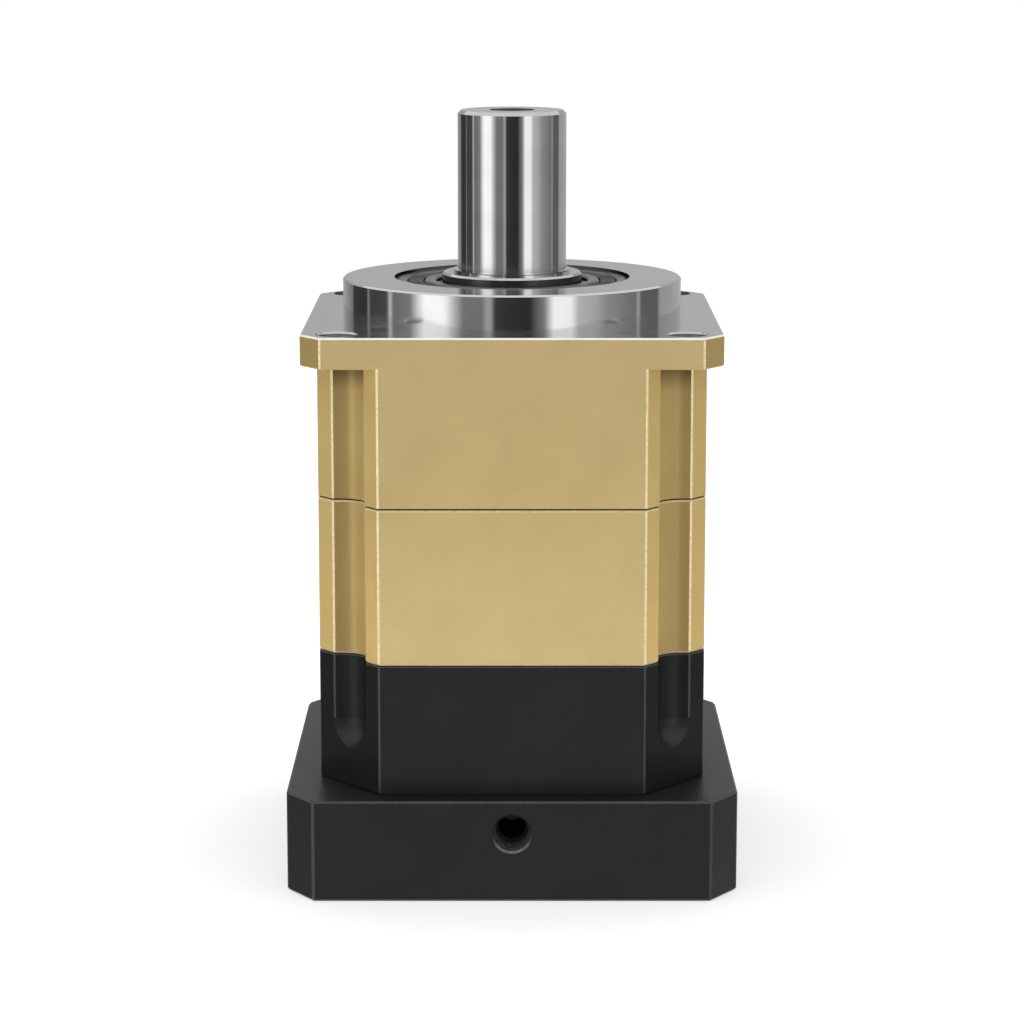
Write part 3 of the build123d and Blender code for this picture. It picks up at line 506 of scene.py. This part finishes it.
bush_bronze = grained(
    "bush_bronze", (0.5, 0.3, 0.12), (0.62, 0.4, 0.18),
    gloss=(0.3, 0.42), grain_mm=0.2, depth_mm=0.004,
)
shader_of(bush_bronze).inputs["Metallic"].default_value = 1.0
finishes = {
    "gold_coat": gold_coat,
    "black_coat": black_coat,
    "ground_steel": ground_steel,
    "turned_steel": turned_steel,
    "gear_steel": gear_steel,
    "bearing_steel": bearing_steel,
    "cage_plastic": cage_plastic,
    "seal_rubber": seal_rubber,
    "black_oxide": black_oxide,
    "bush_bronze": bush_bronze,
}
print("finishes:", sorted(finishes))

# %% [markdown]
# ## Every piece in its main finish
# The record of the part names one material for each piece, as a parts list does. Reading it from there
# keeps the looks in step with the CAD, where a list typed again here could drift away from it.

# %% Give every machined piece its finish
for subpart in frame["record"]["subparts"]:
    piece = machined[subpart["node"]]
    piece.material_slots[0].material = finishes[subpart["material_slot"]]
    print(subpart["node"], "gets", subpart["material_slot"])

# %% [markdown]
# ## More than one finish on a piece
# A housing is coated first and machined after, so one casting carries several finishes that meet at crisp
# edges. Material slots say this better than paint mixed in a shader: the machined faces are picked by
# where they lie and which way they look, and only their slot number changes, never their shape. The same
# slots carry painted light and painted shade on corners, channels, bevels and hollows.

# %% A helper that gives faces another finish
def give(piece, finish, chosen):
    """Add a finish to a piece and give it to the faces for which chosen(face) is true."""
    piece.data.materials.append(finish)
    slot_number = len(piece.data.materials) - 1
    picked = [face for face in piece.data.polygons if chosen(face)]
    for face in picked:
        face.material_index = slot_number
    print(piece.name, "gets", finish.name, "on", len(picked), "faces")


def from_axis(face, x=0.0, y=0.0):
    """How far a face's middle is from an upright line, in millimetres, folded into one quarter."""
    return sqrt((abs(face.center.x) / MM - x) ** 2 + (abs(face.center.y) / MM - y) ** 2)


def height(face):
    """How high a face's middle is above the motor face, in millimetres."""
    return face.center.z / MM


level_from = 0.9
square_on = 0.95


def is_upright(face):
    """True on a wall that stands exactly upright."""
    return abs(face.normal.z) < 0.02


def is_side(face):
    """True on a wall that is upright, or nearly so."""
    return abs(face.normal.z) < 0.3


def is_sloping(face):
    """True on a bevel that joins a wall and a level face."""
    return 0.5 < abs(face.normal.z) < level_from


print("finishes can now be given face by face")

# %% [markdown]
# ## Corners, channels and bevels of the coated pieces
# Three kinds of face differ from the broad coated walls: the flat faces that take the corners off, the
# round channels for the flange screws, and the narrow bevels on every edge. A bevel that runs up a corner
# is found by its size: among the upright outer walls, only bevels add up to so few square millimetres in
# one direction.

# %% Pickers for walls, channels and bevels
bolt_reach = 49.5
channel_radius = 8.3
channel_slack = 0.03
spigot_reach = 51.5
screw_reach = 40.1
screw_clearance = 6.0


def looks_toward(face):
    """The way an upright face looks, rounded so that faces of one plane agree."""
    return round(face.normal.x, 2), round(face.normal.y, 2)


def is_outside_wall(face):
    """True on the upright outer faces, away from the channels and the screw holes."""
    return (
        is_upright(face)
        and from_axis(face) > spigot_reach
        and from_axis(face, bolt_reach, bolt_reach) > channel_radius + channel_slack
        and from_axis(face, screw_reach, screw_reach) > screw_clearance
    )


def upright_bevel(piece, most_square_mm=55.0):
    """Picks the bevels that run up the corners: few square millimetres look the way that a bevel looks."""
    area_toward = {}
    for face in filter(is_outside_wall, piece.data.polygons):
        way = looks_toward(face)
        area_toward[way] = area_toward.get(way, 0.0) + face.area / MM**2
    return lambda face: is_outside_wall(face) and area_toward[looks_toward(face)] < most_square_mm


def level_bevel(low, high, facing_up):
    """Picks the sloping bevels between two heights that look up, or else down."""
    return lambda face: (
        low <= height(face) <= high
        and is_sloping(face)
        and (face.normal.z > 0.0) == facing_up
        and from_axis(face) > spigot_reach
    )


def channel_wall(face):
    """True on the round walls that leave room for the flange screws."""
    reach = from_axis(face, bolt_reach, bolt_reach)
    return is_upright(face) and channel_radius - 0.8 < reach < channel_radius + channel_slack


def corner_face(low, high):
    """Picks the flat faces that take the corners off, between two heights."""
    return lambda face: (
        low < height(face) < high
        and is_upright(face)
        and min(abs(face.normal.x), abs(face.normal.y)) > 0.5
        and from_axis(face) > spigot_reach
    )


print("walls, channels and bevels can be picked, with channels", channel_radius, "mm in radius")

# %% Corners, channels and bevels
joint_low, joint_mid, joint_high = 29.5, 67.5, 112.5
flange_bottom, flange_top = 152.5, 161.5
bevel_room = 0.6
adapter_bevel_room = 0.7
output_housing = machined["output_housing"]
ring_housing = machined["ring_housing"]
input_housing = machined["input_housing"]
motor_adapter = machined["motor_adapter"]
# The corner faces and channels take the copies of the coat with painted light and painted shade.
give(output_housing, flange_corner_painted_shade, corner_face(flange_bottom + 0.1, flange_top - 0.1))
give(output_housing, corner_gold_painted_light, corner_face(joint_high, flange_bottom))
give(ring_housing, corner_gold_painted_light, corner_face(joint_mid, joint_high))
give(input_housing, corner_black_painted_shade, corner_face(joint_low, joint_mid))
give(output_housing, channel_gold_painted_shade, channel_wall)
give(ring_housing, channel_gold_painted_shade, channel_wall)
give(input_housing, corner_black_painted_shade, channel_wall)
# The upright bevels take painted highlights over flecks of wear.
give(output_housing, gold_edge_wear_and_highlight, upright_bevel(output_housing))
give(ring_housing, gold_edge_wear_and_highlight, upright_bevel(ring_housing))
give(input_housing, black_edge_wear_and_highlight, upright_bevel(input_housing))
give(motor_adapter, black_edge_wear_and_highlight, upright_bevel(motor_adapter))
# Painted shade on the bevel above the upper joint, painted highlights on the bevels of the other joints.
give(output_housing, joint_painted_shade, level_bevel(joint_high, joint_high + bevel_room, False))
give(ring_housing, gold_edge_wear_and_highlight, level_bevel(joint_high - bevel_room, joint_high, True))
give(ring_housing, gold_edge_wear_and_highlight, level_bevel(joint_mid, joint_mid + bevel_room, False))
give(input_housing, black_rim_painted_highlight, level_bevel(joint_mid - bevel_room, joint_mid, True))
give(input_housing, black_edge_wear_and_highlight, level_bevel(joint_low, joint_low + bevel_room, False))
give(motor_adapter, black_edge_wear_and_highlight, level_bevel(joint_low - adapter_bevel_room, joint_low, True))

# %% [markdown]
# ## Faces machined bare
# The flange's face, the pilot and the bores are turned after coating, so they fit the machine exactly.
# The bolt holes are drilled, and the edge of the flange gets a bare chamfer all round, brighter than the
# turned face as a painted highlight. The mouths of the two holes behind the pilot get painted shade, while
# the two in front keep bare cut rims.

# %% Faces machined bare
face_slack = 0.05
rim_slack = 0.02
turned_depth = 0.49
bolt_hole_reach = 6.2
pilot_inside = 44.6
pilot_outside = 49.4


def is_bolt_hole(face):
    """True on the walls and chamfers of the four flange holes."""
    near_hole = from_axis(face, bolt_reach, bolt_reach) < bolt_hole_reach
    return near_hole and flange_bottom + face_slack < height(face) < flange_top - rim_slack


def is_hole_chamfer(face):
    """True on the sloping mouths of the flange holes."""
    return is_bolt_hole(face) and abs(face.normal.z) > 0.3


def is_front_chamfer(face):
    """True on the mouths of the two flange holes on the camera's side."""
    return is_hole_chamfer(face) and face.center.y < 0.0


def is_bare(face):
    """True on the turned top of the flange, the pilot, the bores and the bolt holes."""
    return height(face) > flange_top - turned_depth or is_bolt_hole(face) or from_axis(face) < pilot_inside


def is_pilot_side(face):
    """True on the round outer wall of the pilot."""
    return height(face) > flange_top and is_side(face) and from_axis(face) > pilot_outside


give(output_housing, bare_face, is_bare)
give(output_housing, drilled_wall, is_bolt_hole)
give(output_housing, turned_side, is_pilot_side)
# A painted highlight on the flange's outer chamfer.
give(output_housing, bright_edge_painted_highlight, level_bevel(flange_top - bevel_room, flange_top, True))
# Painted shade in the mouths of all four holes, then bare cut rims again on the two in front.
give(output_housing, painted_shade_metal, is_hole_chamfer)
give(output_housing, cut_edge, is_front_chamfer)

# %% [markdown]
# ## The rim of the access hole
# The hole for the clamp screw's key is drilled and tapped after the adapter is coated, so its chamfer is
# bare. Every face of the chamfer slopes toward the hole, which sets it apart from the flat front round
# it. Its finish carries painted light on the lower half, where it looks up, and painted shade above.

# %% Rim of the access hole
access_height = 20.0
access_rim_reach = 6.2
access_front = -64.0


def is_access_rim(face):
    """True on the small bevel round the access hole."""
    from_hole = sqrt((face.center.x / MM) ** 2 + (height(face) - access_height) ** 2)
    return from_hole < access_rim_reach and face.center.y / MM < access_front and face.normal.y > -square_on


give(motor_adapter, access_rim_painted_light, is_access_rim)

# %% [markdown]
# ## The open bearing and the ends of the shaft
# The bearing lies a little below the pilot's top, so its flat rings catch some light and every wall
# between them is in shade. Those walls get painted shade, dark finishes that draw the thin black lines
# that tell ring, cage and collar apart; the shaft's seat below the collar takes the bearing's darker
# steel as painted shade. The shaft's end and the collar have small turned chamfers, and the centre hole
# is deep enough to look black, so its walls get painted shade too.

# %% The open bearing and the ends of the shaft
pilot_top = 172.5
bore_reach = 35.2
recess_depth = 4.5
collar_reach = 20.55
collar_low, collar_high = pilot_top + 0.8, pilot_top + 1.6
seat_low, seat_high = pilot_top - 16.0, pilot_top + 1.0
shaft_top = 221.5
end_chamfer = 1.1
sink_reach = 6.9


def is_recess(face):
    """True on the wall and the chamfer round the bearing, which get painted shade."""
    near_top = height(face) > pilot_top - recess_depth
    return near_top and from_axis(face) < bore_reach and abs(face.normal.z) < level_from


def below_top(piece):
    """Picks every face of a ring but its flat top."""
    top = max(height(face) for face in piece.data.polygons)
    return lambda face: height(face) < top - rim_slack or face.normal.z < level_from


def under_collar(face):
    """True on the part of the shaft that the bearing sits on."""
    return from_axis(face) > collar_reach and seat_low < height(face) < seat_high


def is_cut_edge(face):
    """True on the chamfers of the shaft's end and of the collar."""
    at_end = height(face) > shaft_top - end_chamfer and from_axis(face) > sink_reach
    at_collar = collar_low < height(face) < collar_high and from_axis(face) < collar_reach + 0.1
    return is_sloping(face) and face.normal.z > 0.0 and (at_end or at_collar)


def in_centre_hole(face):
    """True on the walls and the countersink of the hole in the shaft's end."""
    return from_axis(face) < sink_reach and height(face) > pilot_top and abs(face.normal.z) < square_on


# Painted shade on the recess, the cage's slots, the rings' walls and the centre hole.
give(output_housing, painted_shade_metal, is_recess)
give(machined["front_bearing_cage"], slot_shadow, below_top(machined["front_bearing_cage"]))
for name in ("front_bearing_outer_ring", "front_bearing_inner_ring"):
    give(machined[name], painted_shade_metal, is_side)
# The shaft's seat takes the bearing's darker steel as painted shade.
give(machined["output_shaft"], bearing_steel, under_collar)
give(machined["output_shaft"], cut_edge, is_cut_edge)
give(machined["output_shaft"], painted_shade_metal, in_centre_hole)

# %% [markdown]
# ## Screw threads
# The solids have plain tapped holes, because a thread is too fine to matter to them. To the eye it
# matters: the ridges catch the light inside the access hole and the shaft's centre hole. A screw modifier
# could turn a profile into a spiral, but writing the spiral's points directly gives a ridge that fades in
# and out at its ends, as the tap leaves it. Each step round adds four points, foot, crest, crest and
# foot, and a closed band of faces joins them to the step before.

# %% A helper for thread ridges
def thread_ridge(name, body, finish, mouth, inward, radius, length, pitch, rise):
    """A spiral ridge on the wall of a hole that opens at mouth and runs along inward, in millimetres."""
    inward = Vector(inward)
    side = inward.orthogonal().normalized()
    other = inward.cross(side)
    steps_a_turn = 48
    steps_to_fade = 16.0
    steps = int(length / pitch * steps_a_turn)
    points = []
    for step in range(steps + 1):
        angle = 2.0 * pi * step / steps_a_turn
        ray = side * cos(angle) + other * sin(angle)
        along = pitch * (0.6 + step / steps_a_turn)
        crest = radius - rise * min(1.0, step / steps_to_fade, (steps - step) / steps_to_fade)
        for reach, shift in ((radius, -0.42), (crest, -0.06), (crest, 0.06), (radius, 0.42)):
            points.append((Vector(mouth) + ray * reach + inward * (along + shift * pitch)) * MM)
    faces = []
    for step in range(steps):
        a, b = 4 * step, 4 * step + 4
        faces += [(a + k, a + (k + 1) % 4, b + (k + 1) % 4, b + k) for k in range(4)]
    faces += [(3, 2, 1, 0), tuple(4 * steps + k for k in range(4))]
    ridge_mesh = bpy.data.meshes.new(name)
    ridge_mesh.from_pydata(points, [], faces)
    ridge_mesh.materials.append(finish)
    ridge = bpy.data.objects.new(name, ridge_mesh)
    bpy.context.scene.collection.objects.link(ridge)
    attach(ridge, body)
    print(name, "has", round(length / pitch, 1), "turns and", len(faces), "faces")


# %% Threads of the access hole, the shaft and the motor bolts
access_mouth = (0.0, -64.2, access_height)
shaft_mouth = (0.0, 0.0, 219.0)
thread_ridge(
    "access_thread", "housing", tapped_metal, access_mouth, (0, 1, 0),
    radius=5.22, length=7.4, pitch=1.5, rise=0.34,
)
thread_ridge(
    "shaft_thread", "output", drilled_wall, shaft_mouth, (0, 0, -1),
    radius=5.12, length=22.0, pitch=1.75, rise=0.4,
)
motor_bolt_circle = 145.0
motor_bolt_reach = motor_bolt_circle / 2 * cos(radians(45))
for number, (x, y) in enumerate([(-1, -1), (1, -1), (1, 1), (-1, 1)], start=1):
    name = f"motor_thread_{number}"
    mouth = (x * motor_bolt_reach, y * motor_bolt_reach, 0.2)
    thread_ridge(
        name, "housing", black_edge_wear_and_highlight, mouth, (0, 0, 1),
        radius=3.42, length=17.0, pitch=1.25, rise=0.3,
    )

# %% [markdown]
# ## Floor and light
# A catalogue picture puts the object on a white sweep between two tall soft boxes. Polished round metal
# is a mirror of the whole room, so what stands in the room matters more than the lamps. The floor is
# plain paper: the camera sees it white, with only the shadow of the gearbox on it.

# %% Floor
floor_size = 3.0
half = floor_size / 2
floor_mesh = bpy.data.meshes.new("floor")
floor_mesh.from_pydata(
    [(-half, -half, 0.0), (half, -half, 0.0), (half, half, 0.0), (-half, half, 0.0)], [], [(0, 1, 2, 3)]
)
floor = bpy.data.objects.new("floor", floor_mesh)
bpy.context.scene.collection.objects.link(floor)
floor.location.z = cad_low.z - 0.05 * MM
floor.visible_glossy = False

floor_finish, floor_tree, floor_shader = start_finish("white_sweep")
floor_shader.inputs["Base Color"].default_value = (0.85, 0.85, 0.85, 1.0)
floor_shader.inputs["Roughness"].default_value = 0.9
floor_shader.inputs["Specular IOR Level"].default_value = 0.1
floor_mesh.materials.append(floor_finish)
print("floor", floor_size, "m wide")

# %% [markdown]
# ## Only a shadow on white paper
# On an overexposed white sweep the paper vanishes and only the shadow stays. A floor lit brightly enough
# for that would also light the gearbox from below. So the camera sees a glowing sheet that still darkens
# in shadow, and dims near the foot of the gearbox as a painted shadow, while everything else sees pale
# paper.

# %% A floor of two looks
paper_glow = node(floor_tree, "ShaderNodeEmission")
from_gearbox = distance_from_axis(floor_tree, place(floor_tree))
# The sheet is dimmer near the gearbox's foot: a painted shadow round the contact.
dim_within, full_beyond = 0.085, 0.34
glow_with_painted_shadow = spread(floor_tree, from_gearbox, 0.56, 1.0, dim_within, full_beyond)
join(floor_tree, glow_with_painted_shadow, paper_glow.inputs["Strength"])
shadow_keeper = node(floor_tree, "ShaderNodeBsdfDiffuse")
shadow_keeper.inputs["Color"].default_value = (0.42, 0.42, 0.42, 1.0)
both = node(floor_tree, "ShaderNodeAddShader")
join(floor_tree, paper_glow.outputs["Emission"], both.inputs[0])
join(floor_tree, shadow_keeper.outputs["BSDF"], both.inputs[1])
who_looks = node(floor_tree, "ShaderNodeLightPath")
floor_choice = node(floor_tree, "ShaderNodeMixShader")
join(floor_tree, who_looks.outputs["Is Camera Ray"], floor_choice.inputs[0])
join(floor_tree, floor_shader.outputs["BSDF"], floor_choice.inputs[1])
join(floor_tree, both.outputs["Shader"], floor_choice.inputs[2])
join(floor_tree, floor_choice.outputs["Shader"], floor_tree.nodes["Material Output"].inputs["Surface"])
print("the camera sees white with a shadow, the gearbox sees a pale floor")

# %% [markdown]
# ## A brightness for every direction
# Both the light that falls on the coats and the pictures in the metal depend on one thing only: how far
# round the gearbox they lie. The angle comes from the two level coordinates, and a colour ramp turns it
# into a brightness. Separate lamps would need one object for every edge in the list.

# %% The angle round the gearbox
def angle_round(tree, coordinates):
    """How far round the gearbox a point or direction lies, from 0 to 1, with 0.5 on the camera's side."""
    parts = node(tree, "ShaderNodeSeparateXYZ")
    join(tree, coordinates, parts.inputs["Vector"])
    toward_camera = node(tree, "ShaderNodeMath", operation="MULTIPLY")
    toward_camera.inputs[1].default_value = -1.0
    join(tree, parts.outputs["Y"], toward_camera.inputs[0])
    turned_by = node(tree, "ShaderNodeMath", operation="ARCTAN2")
    join(tree, parts.outputs["X"], turned_by.inputs[0])
    join(tree, toward_camera.outputs["Value"], turned_by.inputs[1])
    return spread(tree, turned_by.outputs["Value"], 0.0, 1.0, -pi, pi)


def panels_round(tree, share, stops):
    """A ring of cards and soft boxes: one brightness for each angle, in degrees from the camera's side."""
    made = node(tree, "ShaderNodeValToRGB")
    join(tree, share, made.inputs["Fac"])
    ramp = made.color_ramp
    while len(ramp.elements) > 1:
        ramp.elements.remove(ramp.elements[-1])
    for index, (angle, level) in enumerate(stops):
        where = (angle + 180.0) / 360.0
        stop = ramp.elements[0] if index == 0 else ramp.elements.new(where)
        stop.position = where
        stop.color = (level, level, level, 1.0)
    print("edges of panels:", len(ramp.elements))
    return made.outputs["Color"]


print("a list of angles can now set the light all round")

# %% [markdown]
# ## The ring of cards and soft boxes
# The long streaks on the shaft and the pilot are pictures of the studio: tall soft boxes left and right,
# black flags between them, and the dark room behind the camera. They could be lamps and cards, one object
# each. One tall curtain round the set does the same with a single mesh, because each upright streak needs
# only an angle and a brightness. It is seen in reflections alone, so it neither lights the coats nor
# hides the background.

# %% Curtain
curtain_reach = 4.0
curtain_low = -1.6
curtain_high = 2.3
curtain_sides = 90
curtain_points = []
curtain_faces = []
for level in (curtain_low, curtain_high):
    for side in range(curtain_sides):
        turn = 2.0 * pi * side / curtain_sides
        curtain_points.append((curtain_reach * sin(turn), -curtain_reach * cos(turn), level))
for side in range(curtain_sides):
    after = (side + 1) % curtain_sides
    curtain_faces.append((side, after, curtain_sides + after, curtain_sides + side))
curtain_mesh = bpy.data.meshes.new("curtain")
curtain_mesh.from_pydata(curtain_points, [], curtain_faces)
curtain = bpy.data.objects.new("curtain", curtain_mesh)
bpy.context.scene.collection.objects.link(curtain)
for kind_of_ray in ("camera", "diffuse", "transmission", "shadow"):
    setattr(curtain, "visible_" + kind_of_ray, False)
print("curtain", curtain_low, "to", curtain_high, "m high")

# %% [markdown]
# ## What the curtain shows
# Where a streak stands on the round shaft tells the angle from which its light came, so each card and box
# was moved and dimmed until the streaks stood where the portrait has them. Above the height that upright
# metal can see, the panels are broader and softer, for the level faces and for views from higher up.

# %% What the curtain shows
curtain_finish, curtain_tree, curtain_shader = start_finish("cards_and_soft_boxes")
curtain_place = place(curtain_tree)
curtain_share = angle_round(curtain_tree, curtain_place)
streaks = panels_round(curtain_tree, curtain_share, [
    (-180, 0.34), (-157, 0.27), (-138, 0.16), (-136, 0.035), (-115, 0.03), (-113.5, 0.3),
    (-112, 0.045), (-93, 0.055), (-90, 0.5), (-87, 0.13), (-72, 0.19), (-61, 1.0), (-46, 0.95),
    (-40, 0.5), (-33, 0.17), (-19, 0.16), (-17.5, 0.32), (-13.5, 0.3), (-12, 0.035), (12, 0.022),
    (22, 0.2), (28, 0.9), (40, 0.88), (45, 0.45), (58, 0.37), (66, 0.25), (92, 0.14), (94.5, 0.36),
    (97, 0.1), (116, 0.1), (119, 0.29), (168, 0.34),
])
soft_top = panels_round(curtain_tree, curtain_share, [
    (-180, 0.34), (-150, 0.34), (-120, 0.55), (-100, 0.75), (-60, 0.7), (-30, 0.25), (30, 0.22),
    (60, 0.55), (100, 0.6), (120, 0.45), (150, 0.34),
])
streak_top = 0.95
soft_start = 1.4
softer = node(curtain_tree, "ShaderNodeMix", data_type="RGBA")
curtain_rise = along_axis(curtain_tree, curtain_place)
join(curtain_tree, spread(curtain_tree, curtain_rise, 0.0, 1.0, streak_top, soft_start), softer.inputs[0])
join(curtain_tree, streaks, softer.inputs[6])
join(curtain_tree, soft_top, softer.inputs[7])
room_level = 1.45
curtain_glow = node(curtain_tree, "ShaderNodeEmission")
curtain_glow.inputs["Strength"].default_value = room_level
join(curtain_tree, softer.outputs[2], curtain_glow.inputs["Color"])
join(curtain_tree, curtain_glow.outputs["Emission"], curtain_tree.nodes["Material Output"].inputs["Surface"])
curtain_tree.nodes.remove(curtain_shader)
curtain_finish.cycles.emission_sampling = "NONE"
curtain_mesh.materials.append(curtain_finish)
print("the curtain glows at", room_level)

# %% [markdown]
# ## The room
# Everything matt is lit by the room: brighter at the two soft boxes than in front and behind, and even
# overhead. The camera, and any reflection that looks past the curtain, sees plain white paper instead.

# %% Room light, and white paper behind it
world = bpy.data.worlds.new("studio")
world.use_nodes = True
bpy.context.scene.world = world
sky = world.node_tree
sky.nodes.clear()
direction = node(sky, "ShaderNodeTexCoord").outputs["Generated"]
sides = panels_round(sky, angle_round(sky, direction), [
    (-180, 0.3), (-110, 0.4), (-60, 0.72), (-20, 0.12), (20, 0.1), (60, 0.52), (110, 0.32),
])
roof = node(sky, "ShaderNodeMix", data_type="RGBA")
join(sky, spread(sky, along_axis(sky, direction), 0.0, 1.0, 0.3, 0.8), roof.inputs[0])
join(sky, sides, roof.inputs[6])
roof.inputs[7].default_value = (0.7, 0.7, 0.7, 1.0)
room_light = node(sky, "ShaderNodeBackground")
room_light.inputs["Strength"].default_value = room_level
join(sky, roof.outputs[2], room_light.inputs["Color"])
paper = node(sky, "ShaderNodeBackground")
paper.inputs["Color"].default_value = (1.0, 1.0, 1.0, 1.0)
rays = node(sky, "ShaderNodeLightPath")
sees_paper = rays.outputs["Is Camera Ray"]
for kind_of_ray in ("Is Glossy Ray", "Is Transmission Ray"):
    either = node(sky, "ShaderNodeMath", operation="MAXIMUM")
    join(sky, sees_paper, either.inputs[0])
    join(sky, rays.outputs[kind_of_ray], either.inputs[1])
    sees_paper = either.outputs["Value"]
choice = node(sky, "ShaderNodeMixShader")
join(sky, sees_paper, choice.inputs[0])
join(sky, room_light.outputs["Background"], choice.inputs[1])
join(sky, paper.outputs["Background"], choice.inputs[2])
sky_out = node(sky, "ShaderNodeOutputWorld")
join(sky, choice.outputs["Shader"], sky_out.inputs["Surface"])
print("camera and metal see white paper, the coats are lit by the room")

# %% [markdown]
# ## Lamps
# The room alone leaves the front a little flat. A broad box behind the camera lifts the gold, a low card
# in front throws light back from the paper onto the black adapter, and a box overhead draws the shadow.
# None of them is seen in the metal, where the curtain draws every streak.

# %% Lamps
def soft_box(name, place_at, size, watts, look_at=(0.0, 0.0, 0.1)):
    """A soft box of this width and height, turned to the gearbox."""
    lamp = bpy.data.lights.new(name, "AREA")
    lamp.shape = "RECTANGLE"
    lamp.size, lamp.size_y = size
    lamp.energy = watts
    stand = bpy.data.objects.new(name, lamp)
    stand.location = place_at
    stand.rotation_euler = (Vector(place_at) - Vector(look_at)).to_track_quat("Z", "Y").to_euler()
    stand.visible_glossy = False
    bpy.context.scene.collection.objects.link(stand)
    print(name, "gives", watts, "W")


soft_box("front_fill", (0.0, -1.5, 0.45), (1.2, 0.8), 8.5)
soft_box("bounce_card", (0.0, -0.3, 0.012), (0.6, 0.08), 0.42, look_at=(0.0, -0.06, 0.08))
soft_box("top_box", (0.0, 0.1, 1.5), (1.0, 1.0), 6.0)

# %% [markdown]
# ## Settings
# The view is kept Standard, so a colour leaves the render as it was lit.

bpy.context.scene.view_settings.view_transform = "Standard"
bpy.context.view_layer.update()
